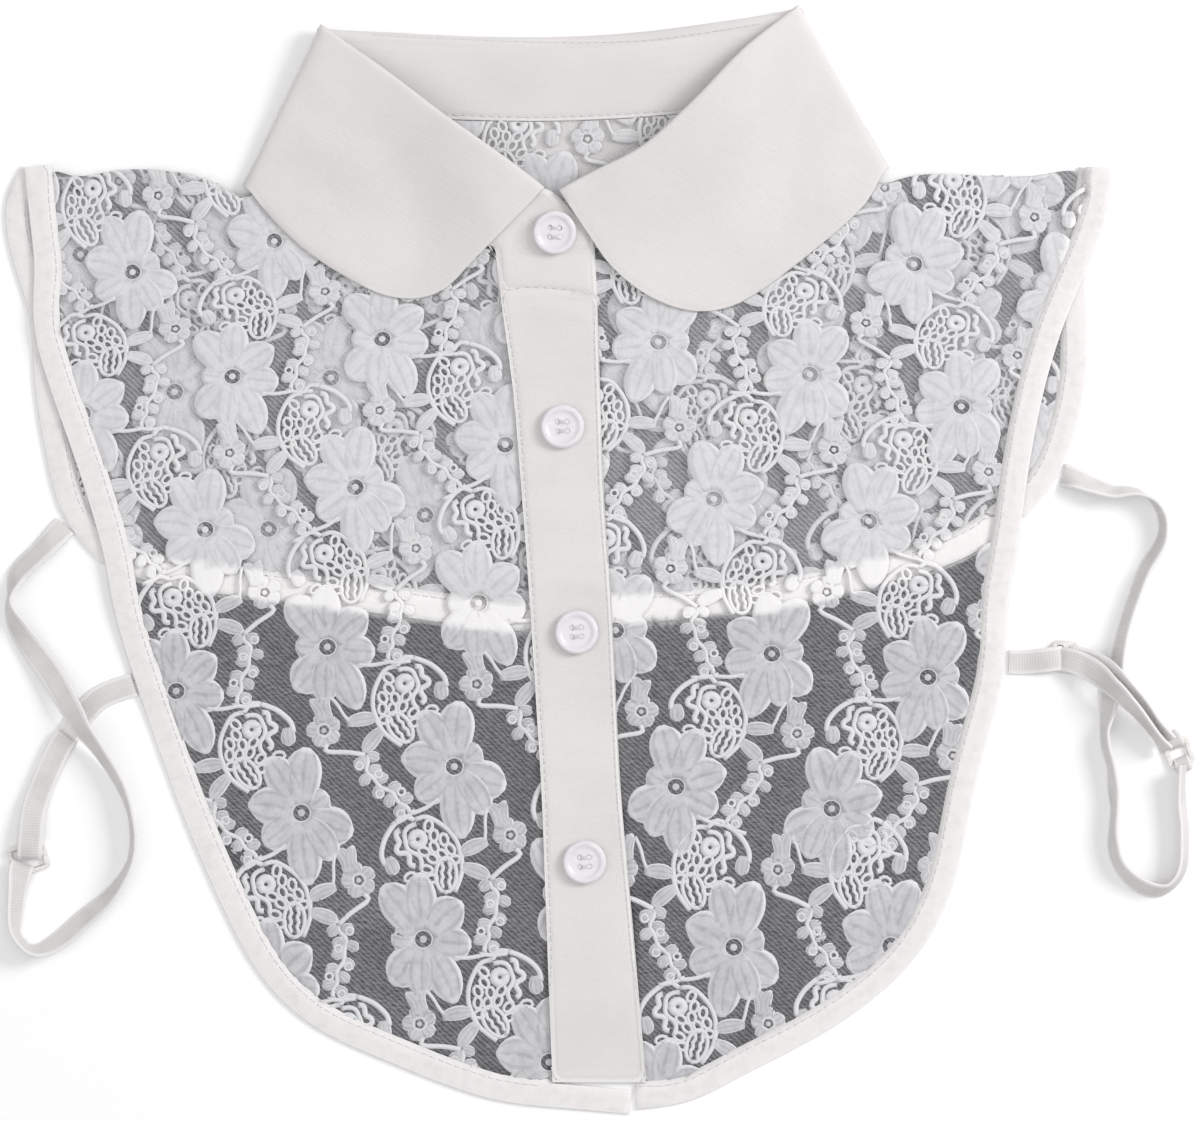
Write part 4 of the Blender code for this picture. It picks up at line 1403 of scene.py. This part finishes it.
@dataclass
class CottonParts:
    """The placket, the stand and the leaf."""

    flat: dict = field(default_factory=lambda: {
        "placket_top": (30, 265), "placket_under": (24, 276), "collar_stand": (34, 372),
        "collar_leaf": (82, 400),
    })
    back: float = 160.0  # y from which the stand's points are its back's
    tuck: float = 1.9  # how far its top goes up under the fold
    throat: tuple[float, float] = (-7.0, 110.0)  # where its lapped ends meet the leaf
    rise: float = 5.0
    ironed: float = 0.6

    def tucked(self, shape: bmesh.types.BMesh) -> None:
        """Tuck the placket's upper end under the stand.

        Args:
            shape: The placket.
        """
        layer = shape.verts.layers.float["edge"]
        top = max(vert.co.y for vert in shape.verts) / MM
        for vert in shape.verts:
            near = smooth_step((vert.co.y / MM - (top - 7)) / 6)
            vert.co.y += 1.5 * near * MM
            vert.co.z -= 0.35 * near * MM
            # a large edge distance keeps the painted edge highlight and painted shadow line off the tucked end
            vert[layer] = max(vert[layer], 3 * near) if abs(vert.normal.x) < 0.5 else vert[layer]

    def fitted(self, shape: bmesh.types.BMesh) -> None:
        """Tuck the stand's top under the leaf's fold and close the throat.

        Args:
            shape: The stand.
        """
        layer = shape.verts.layers.float["edge"]
        for vert in shape.verts:
            x, y = vert.co.x / MM, vert.co.y / MM
            if y > self.back:
                near = 1 - smooth_step(vert[layer] / 4)
                vert.co.y += self.tuck * near * MM
                # a large edge distance keeps the painted edge highlight and painted shadow line off the tucked top
                vert[layer] = max(vert[layer], 3.0)
            elif y < 135:
                aside = 1 - smooth_step(abs(x - self.throat[0]) / 13)
                vert.co.y += self.rise * aside * smooth_step((y - self.throat[1]) / 9) * MM
                if y < self.throat[1]:
                    vert.co.z -= self.ironed * (1 - smooth_step(vert[layer] / 2.6)) * MM

    def build(self, cotton: dict[str, bpy.types.Material]) -> None:
        """Make each piece.

        Args:
            cotton: The material of each.
        """
        for node in ("placket_top", "placket_under", "collar_stand", "collar_leaf"):
            levels = 4 if node == "placket_top" else 2
            shape = soft_wall([node], 0.55, levels, LIFTS.get(node, front_lift))
            if node == "collar_stand":
                self.fitted(shape)
            if node == "placket_top":
                self.tucked(shape)
            cloth = piece(shape, f"{node}_cloth", cotton[node], Slot.COTTON, [node])
            flat = tuple(side * MM for side in self.flat[node])


# Elastic: place, height of its underside, and turn about its length in degrees
STRAPS = {
    "strap_left_long": (
        (-171.3, 21.1, 0, 0), (-179, 13.6, 0, 30), (-187.2, 6.2, 0, 38),
        (-190.2, -1, 0, 78), (-190.6, -5.2, 0, 68), (-188.6, -11.4, 0, 38), (-184.6, -18, 0.6, 20),
        (-178.6, -26.8, 1.8, 5), (-171.8, -39.5, 2.9, 25), (-168.1, -46.5, 2.9, 45),
        (-163.5, -53.4, 1.2, 58), (-157, -65, 0, 66), (-153.9, -75, 0, 76), (-153.4, -84.3, 0, 74),
        (-155.4, -92.6, 0, 73), (-162.4, -102, 0, 56), (-170.9, -108.9, 0, 40),
        (-179, -115.4, 0, 42), (-185.2, -118.4, 0, 57), (-190.2, -117.6, 0, 74),
        (-193.6, -113, 0, 72), (-193.7, -107, 0, 55), (-192.4, -98, 0.6, 44),
        (-191.3, -92.4, 1.9, 20), (-190.8, -90.9, 1.5, 14), (-190.4, -89.9, 0.2, 10),
    ),
    "strap_left_front": (
        (-187.9, -87.4, 0.2, 0), (-187.8, -86.6, 1.3, 0), (-187.6, -85.2, 1.9, 0), (-187.2, -81.4, 1.9, 0), (-185.8, -72, 0.5, 0),
        (-181.6, -62, 0, 0), (-176.4, -52.2, 0, 0), (-170, -43.5, 0, 0), (-162, -36, 0, 0),
        (-150.9, -32.5, 0, 0),
    ),
    "strap_left_return": (
        (-188.0, -88.2, 1.4, 0), (-187.9, -86.9, 2.8, 0), (-187.7, -84.2, 3.25, 0), (-187.2, -80.8, 3.25, 0), (-185.8, -72, 2, 0),
        (-181.8, -62.3, 1.35, 0), (-176.8, -52.4, 1.35, 0), (-174, -48.4, 1.35, 0),
    ),
    "strap_right_long": (
        (159.1, 22.3, 0, 0), (162.8, 21.1, 0, -30), (167.8, 18.8, 0, -45),
        (175, 16, 0, -60), (179.5, 16, 0, -68), (184.2, 15.2, 0, -80), (188.8, 11.8, 0, -97),
        (191.1, 7, 0, -104), (191.2, 2.2, 0, -106), (189.4, -2.9, 0, -112), (184.5, -10, 0, -114),
        (181.1, -17.8, 0, -112), (178.2, -25, 0, -111), (175.8, -32.2, 0, -113),
        (173.9, -40.1, 0, -120), (172.4, -45, 0, -136), (171.2, -50.5, 0, -140),
        (170, -56.4, 0, -124), (168.7, -62.7, 0, -104), (168.9, -68.4, 0, -105),
        (170.4, -75.1, 0, -103),
        (170.7, -83, 0, -110), (170.8, -89, 0, -101), (170, -95.5, 0, -103),
        (169.9, -101.5, 0, -112), (171.2, -106.8, 0, -114), (174.3, -111.2, 0, -120),
        (178.6, -114.7, 0, -126), (183.5, -116.3, 0, -121), (187.6, -115.4, 0, -109),
        (190.6, -112.5, 0, -109), (192.6, -108, 0, -113), (193.2, -101.8, 0, -113),
        (193.4, -94.8, 0, -113), (193, -88.8, 0, -113), (193.1, -82, 0.6, -110),
        (193.6, -75.2, 1.9, -108),
    ),
    "strap_right_outer": (
        (189.8, -67, 1.9, -60), (185.8, -60.8, 2.2, -74), (182.9, -56.2, 3.6, -72),
        (179.6, -52.1, 5.2, -66), (175.8, -48.2, 6.6, -56), (172.8, -45.2, 6.5, -44),
        (168.6, -41.8, 4.6, -20), (163.8, -39.4, 2.7, -6), (159.4, -38.1, 1.9, 0), (158.4, -38, 1.2, 0), (157.9, -38, 0.3, 0),
    ),
    "strap_right_inner": (
        (188.7, -70.2, 1.9, -60), (186, -66.1, 2.2, -74), (182.7, -61.5, 3.6, -72),
        (179.3, -57, 5.8, -66), (176, -53.3, 7, -58), (173.1, -50, 6.7, -50),
        (170.2, -47.2, 6.5, -42), (166.4, -43.4, 5.6, -19), (162.6, -40.9, 4.4, -5),
        (159.6, -39.4, 3.5, -1), (157.9, -38.9, 2.7, 0), (156.6, -38.6, 2.1, 0),
        (155.5, -38.4, 1.2, 0), (155, -38.3, 0.3, 0),
    ),
    "strap_right_tab": (
        (155.9, -38.1, 0.3, 0), (155.4, -38.1, 1.3, 0), (154.4, -38.2, 1.9, 0), (150.4, -38.6, 1.9, 0), (145.5, -38.9, 0.5, 0),
        (142, -38.9, 0, 0), (138.2, -38.6, 0, 0),
    ),
}


# The sewn loops round the right ring's bars, which the straps on their edge end in
LOOPS = {
    "strap_right_long": (
        (194.7, -77.4, 0.15, 0), (194.4, -76.4, 1.4, 0), (194.1, -75, 1.75, 0),
        (193.8, -73.8, 1.4, 0), (193.5, -72.9, 0.15, 0),
    ),
    "strap_right_outer": (
        (192.6, -69.4, 0.15, 0), (192.3, -68.5, 1.4, 0), (191.9, -67.4, 1.75, 0),
        (191.2, -66.2, 1.5, 0), (190.2, -65.2, 0.6, 0),
    ),
}


@dataclass
class Straps:
    """The elastic straps with their ring and slider."""

    wide: float = 8.0
    thick: float = 1.0
    seat: float = 0.1
    rows: int = 4  # cells between two places of the table

    loop: float = 5.4  # width of the sewn loops

    def ribbon(self, table: Sequence[tuple], wide: float) -> bmesh.types.BMesh:
        """One strap, flat or on its edge as its table turns it.

        Args:
            table: Its places.
            wide: Its width.

        Returns:
            The strap, with its map across and along in millimetres.
        """
        count = self.rows * (len(table) - 1)
        line = through(table, count + 1)
        shape = bmesh.new()
        made = bmesh.ops.create_grid(shape, x_segments=4, y_segments=count, size=1.0)["verts"]
        layer = shape.loops.layers.uv.verify()
        run = [0.0]
        for one, two in zip(line, line[1:]):
            run.append(run[-1] + (two.xy - one.xy).length)
        half = wide / 2
        for vert in made:
            u, i = vert.co.x, round((vert.co.y + 1) / 2 * count)
            for loop in vert.link_loops:
                loop[layer].uv = (u, run[i])
            way = (line[min(i + 1, count)].xy - line[max(i - 1, 0)].xy).normalized()
            tilt = math.radians(line[i].w)
            side = Vector((-way.y * math.cos(tilt), way.x * math.cos(tilt), math.sin(tilt)))
            rise = (half + self.seat) * abs(math.sin(tilt)) + self.thick / 2 * abs(math.cos(tilt))
            spot = Vector((line[i].x, line[i].y, max(line[i].z, 0) + rise))
            vert.co = (spot + side * (half * u)) * MM
        bmesh.ops.recalc_face_normals(shape, faces=shape.faces)
        return finished(shape, "ribbon", [
            ("SOLIDIFY", {"thickness": self.thick * MM, "offset": 0}),
            ("BEVEL", {"width": 0.28 * MM, "segments": 2, "limit_method": "ANGLE"}),
        ])

    def build(self, elastic: bpy.types.Material, plastic: bpy.types.Material) -> None:
        """Make the straps and dress their hardware.

        Args:
            elastic: The straps' material.
            plastic: The hardware's material.
        """
        for node, table in STRAPS.items():
            shape = self.ribbon(table, self.wide)
            if node in LOOPS:
                loop = self.ribbon(LOOPS[node], self.loop)
                mesh = bpy.data.meshes.new("loop")
                loop.to_mesh(mesh)
                loop.free()
                shape.from_mesh(mesh)
                bpy.data.meshes.remove(mesh)
            piece(shape, f"{node}_band", elastic, Slot.ELASTIC, [node])
        for node in ("ring_left", "ring_right", "slider_right"):
            shape = copied(node)
            rounded = ("BEVEL", {"width": 0.45 * MM, "segments": 3, "limit_method": "ANGLE"})
            piece(finished(shape, node, [rounded]), f"{node}_moulded", plastic, Slot.PLASTIC, [node])


@dataclass
class Buttons:
    """The four shirt buttons and the thread that holds each."""

    dish: float = 1.5  # height of the dish over the button's foot
    hole: float = 1.5  # how far each hole is from the middle, both ways
    thread: float = 0.34
    plug: float = 0.93  # radius of the thread that fills a hole
    strands: int = 3

    def stitch(self, shape: bmesh.types.BMesh, one: Vector, two: Vector) -> None:
        """One strand over the dish, down into a hole at each end.

        Args:
            shape: The thread's mesh.
            one: A hole's middle on the dish, in millimetres.
            two: The other hole's.
        """
        made = bmesh.ops.create_grid(shape, x_segments=6, y_segments=8, size=1.0)["verts"]
        layer = shape.loops.layers.uv.verify()
        way = (two - one).normalized()
        side = Vector((-way.y, way.x, 0))
        for vert in made:
            turn, share = vert.co.x * math.pi, (vert.co.y + 1) / 2
            for loop in vert.link_loops:
                loop[layer].uv = (vert.co.x, share)
            spot = one.lerp(two, share) + Vector((0, 0, 0.42 - 1.3 * abs(2 * share - 1) ** 6))
            ring = side * math.cos(turn) + Vector((0, 0, math.sin(turn)))
            vert.co = (spot + ring * self.thread / 2) * MM
        bmesh.ops.remove_doubles(shape, verts=made, dist=1e-6)

    def build(self, pearl: bpy.types.Material, thread: bpy.types.Material) -> None:
        """Make the buttons and sew them on.

        Args:
            pearl: Their material.
            thread: The thread's.
        """
        for number in range(1, 5):
            node = f"button_{number}"
            low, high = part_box(node)
            middle = (low + high) / 2 / MM
            rise = front_lift(middle.x, middle.y)
            shape = copied(node)
            creased(shape, 0.45, 60)
            made = finished(shape, node, [subsurf(2)])
            bmesh.ops.translate(made, verts=made.verts, vec=(0, 0, rise * MM))
            piece(made, f"{node}_shell", pearl, Slot.PEARL, [node])
            sewn = bmesh.new()
            foot = Vector((middle.x, middle.y, middle.z - 1.2 + self.dish + rise))
            for k in range(self.strands):
                off = (k - (self.strands - 1) / 2) * self.thread * 1.05
                for y in (-self.hole, self.hole):
                    self.stitch(
                        sewn, foot + Vector((-self.hole, y + off, 0)),
                        foot + Vector((self.hole, y + off, 0)),
                    )
            for x in (-self.hole, self.hole):
                for y in (-self.hole, self.hole):
                    knot = bmesh.ops.create_icosphere(sewn, subdivisions=2, radius=self.plug * MM)
                    bmesh.ops.scale(sewn, vec=(1, 1, 0.4), verts=knot["verts"])
                    spot = foot + Vector((x, y, -0.25))
                    bmesh.ops.translate(sewn, verts=knot["verts"], vec=spot * MM)
            bmesh.ops.recalc_face_normals(sewn, faces=sewn.faces)
            piece(sewn, f"{node}_thread", thread, Slot.COTTON)


FOLD_STITCHES = ((-62.1, 178.0), (-36.5, 175.5), (-0.3, 172.5), (26.1, 171.9), (46.0, 173.3), (65.9, 175.6))


@dataclass
class Topstitch:
    """Rows of stitches along the edges of the cloth."""

    long: float = 2.1
    step: float = 2.9
    thick: float = 0.3

    def outline(self, node: str) -> list[list[Vector]]:
        """The loops round a CAD cloth's upper face, in plan.

        Args:
            node: The CAD node.

        Returns:
            Each loop's points, in millimetres.
        """
        shape = copied(node)
        shape.normal_update()
        under = [f for f in shape.faces if f.normal.z < 0.5]
        bmesh.ops.delete(shape, geom=under, context="FACES")
        left = {e for e in shape.edges if e.is_boundary}
        loops = []
        while left:
            first = left.pop()
            walk = list(first.verts)
            while True:
                ahead = [e for e in walk[-1].link_edges if e in left]
                if not ahead:
                    break
                left.discard(ahead[0])
                walk.append(ahead[0].other_vert(walk[-1]))
            loops.append([v.co.xy / MM for v in walk])
        shape.free()
        return loops

    def sew(
        self, shape: bmesh.types.BMesh, line: Sequence[Vector], on: BVHTree, inside: BVHTree,
        off: float, wanted: Callable[[Vector, Vector], bool],
    ) -> None:
        """Sew along one line.

        Args:
            shape: The thread's mesh.
            line: The cloth's edge, in millimetres.
            on: The faces that the stitches lie on.
            inside: The plan of the cloth, which tells the inner side.
            off: How far from the edge.
            wanted: Whether a stitch at a place, going one way, is sewn.
        """
        far = sum((two - one).length for one, two in zip(line, line[1:]))
        count = int(far / self.step)
        if count < 2:
            return
        spots = through(line, count + 1)
        for one, two in zip(spots, spots[1:]):
            way = (two - one).normalized()
            middle = (one + two) / 2
            side = Vector((-way.y, way.x))
            for turn in (1, -1):
                spot = middle + side * (off * turn)
                near = inside.find_nearest(Vector((spot.x * MM, spot.y * MM, 0)))[3]
                if near < 1e-6 and wanted(spot, way):
                    self.stitch(shape, spot, way, on)
                    break

    def stitch(self, shape: bmesh.types.BMesh, spot: Vector, way: Vector, on: BVHTree) -> None:
        """One stitch.

        Args:
            shape: The thread's mesh.
            spot: Its middle in plan.
            way: Its direction in plan.
            on: The faces that it lies on.
        """
        hit = on.ray_cast(Vector((spot.x * MM, spot.y * MM, 1)), Vector((0, 0, -1)))[0]
        if not hit:
            return
        made = bmesh.ops.create_cone(
            shape, cap_ends=True, segments=6, radius1=self.thick * 0.5 * MM,
            radius2=self.thick * 0.5 * MM, depth=self.long * MM,
        )["verts"]
        layer = shape.loops.layers.uv.verify()
        for vert in made:
            for loop in vert.link_loops:
                loop[layer].uv = (math.atan2(vert.co.y, vert.co.x) / math.pi, vert.co.z / MM / self.long)
            vert.co.x *= 0.6
        turn = Matrix.Rotation(math.atan2(way.y, way.x), 3, "Z") @ Matrix.Rotation(math.pi / 2, 3, "Y")
        bmesh.ops.rotate(shape, verts=made, matrix=turn)
        bmesh.ops.translate(shape, verts=made, vec=hit + Vector((0, 0, self.thick * 0.12 * MM)))

    def build(self, thread: bpy.types.Material, fold: Sequence[tuple[float, float]]) -> None:
        """Sew every row.

        Args:
            thread: The thread's material.
            fold: The line of the stitches along the collar's fold, in millimetres.
        """
        def on_sides(spot: Vector, way: Vector) -> bool:
            """Along the sides, not across the ends."""
            return abs(way.y) > 0.8

        def on_lower(spot: Vector, way: Vector) -> bool:
            """Along the stand's seam, at the back and at the front."""
            return abs(way.x) > 0.8 and (spot.y < 97 or 140 < spot.y < 156)

        rows = [
            ("placket_top", "placket_top_cloth", 1.4, on_sides),
            ("collar_stand", "collar_stand_cloth", 1.5, on_lower),
        ]
        for node, panel in (
            ("front_binding_left", "front_panel_left"), ("front_binding_right", "front_panel_right"),
            ("back_binding_left", "back_panel"), ("back_binding_right", "back_panel"),
            ("back_hem_binding", "back_panel"),
        ):
            plan = plan_of(panel)

            def beside(spot: Vector, way: Vector, plan: BVHTree = plan) -> bool:
                """Along the edge that laps the lace."""
                return plan.find_nearest(Vector((spot.x * MM, spot.y * MM, 0)))[3] < 1.7 * MM

            rows.append((node, f"{node}_tape", 1.0, beside))
        for node, sewn, off, wanted in rows:
            faces = bmesh.new()
            faces.from_mesh(bpy.data.objects[sewn].data)
            on = BVHTree.FromBMesh(faces)
            faces.free()
            shape = bmesh.new()
            for loop in self.outline(node):
                self.sew(shape, loop, on, plan_of(node), off, wanted)
            piece(shape, f"{node}_stitches", thread, Slot.COTTON)
        faces = bmesh.new()
        faces.from_mesh(bpy.data.objects["collar_leaf_cloth"].data)
        on = BVHTree.FromBMesh(faces)
        faces.free()
        shape = bmesh.new()
        spots = through(fold, int(2 + 140 / self.step))
        for one, two in zip(spots, spots[1:]):
            self.stitch(shape, (one + two) / 2, (two - one).normalized(), on)
        piece(shape, "collar_fold_stitches", thread, Slot.COTTON)


@dataclass
class Studio:
    """The pale floor, the soft light and the camera."""

    middle: tuple[float, float] = (4.85, 1.26)
    height: float = 2.2
    lens: float = 200.0
    shown: float = 396.0  # width of the picture on the garment
    floor_size: float = 6.0
    clear: float = 0.05  # the floor lies this far under the garment

    def build(self) -> None:
        """Make them all."""
        scene = bpy.context.scene
        shape = bmesh.new()
        made = bmesh.ops.create_grid(shape, x_segments=1, y_segments=1, size=self.floor_size)["verts"]
        bmesh.ops.translate(shape, verts=made, vec=(0, 0, -self.clear * MM))
        mesh = bpy.data.meshes.new("floor")
        shape.to_mesh(mesh)
        shape.free()
        recipe = Recipe("floor")
        tone = recipe.noise(recipe.place(), 0.004, 2)
        mesh.materials.append(recipe.done(
            recipe.mix(tone, linear(255, 255, 255), linear(252, 252, 252)), 0.95,
        ))
        floor = bpy.data.objects.new("floor", mesh)
        scene.collection.objects.link(floor)

        lens = bpy.data.cameras.new("camera")
        lens.lens = self.lens
        lens.sensor_width = 36.0
        lens.clip_start, lens.clip_end = 0.05, 20
        camera = bpy.data.objects.new("camera", lens)
        away = self.shown * MM * self.lens / 36.0
        camera.location = Vector((self.middle[0] * MM, self.middle[1] * MM, away + 0.005))
        camera.rotation_euler = (0, 0, -math.radians(LAID_TURN))
        scene.collection.objects.link(camera)
        scene.camera = camera

        for name, place, size, power in (
            ("key", (1.6, 0.6, 1.25), 0.8, 24), ("fill", (-1.4, -0.5, 2.0), 1.8, 9),
            ("top", (0, 0.3, 2.6), 2.0, 12.5),
        ):
            lamp = bpy.data.lights.new(name, "AREA")
            lamp.energy, lamp.size = power, size
            light = bpy.data.objects.new(name, lamp)
            light.location = place
            light.rotation_euler = (-Vector(place)).to_track_quat("-Z", "Y").to_euler()
            scene.collection.objects.link(light)
        world = bpy.data.worlds.new("studio")
        world.use_nodes = True
        world.node_tree.nodes["Background"].inputs["Color"].default_value = (1, 1, 1, 1)
        world.node_tree.nodes["Background"].inputs["Strength"].default_value = 0.5
        scene.world = world
        scene.view_settings.view_transform = "Standard"


def main() -> None:
    """Build the collar piece by piece."""
    logging.basicConfig(level=logging.INFO, format="%(name)s %(message)s")
    Studio().build()
    flower = Flower()
    repeats = {False: flower.drawn(False), True: flower.drawn(True)}
    LOG.info("repeat: %d faces", len(repeats[False].polygons))
    net = Net("net").material()
    back_net = Net("back_net", linear(170, 170, 173), linear(98, 98, 101)).material()
    work = Embroidery("lace_work").material()
    # the hem tape's third colour is its painted highlight along the folds
    hem = Tape("hem_tape", linear(246, 243, 243), linear(238, 235, 236), linear(248, 246, 246))
    tapes = Bindings().build(Tape("bias_tape").material(), hem.material())
    for panel in (
        LacePanel("back_panel", BACK_ROWS, 1, ("collar_leaf",), no_lift),
        LacePanel("front_panel_left", LEFT_ROWS, 1, BACK_NODES, front_lift),
        LacePanel("front_panel_right", RIGHT_ROWS, 0, BACK_NODES, front_lift),
    ):
        shown = back_net if panel.node == "back_panel" else net
        panel.build(shown, work, repeats, tapes[panel.node])
    plain = Cotton("shirting").material()
    # the leaf gets only a faint painted highlight and painted shadow line along its edges
    leaf = Cotton("leaf_shirting", turn=35, seen=0.08).material()
    CottonParts().build({
        "placket_top": plain, "placket_under": plain, "collar_stand": plain, "collar_leaf": leaf,
    })
    Straps().build(Elastic("elastic").material(), Plastic("plastic").material())
    thread = Sewing("sewing_thread").material()
    Buttons().build(Pearl("pearl").material(), thread)
    Topstitch().build(thread, FOLD_STITCHES)


if __name__ == "__main__":
    main()
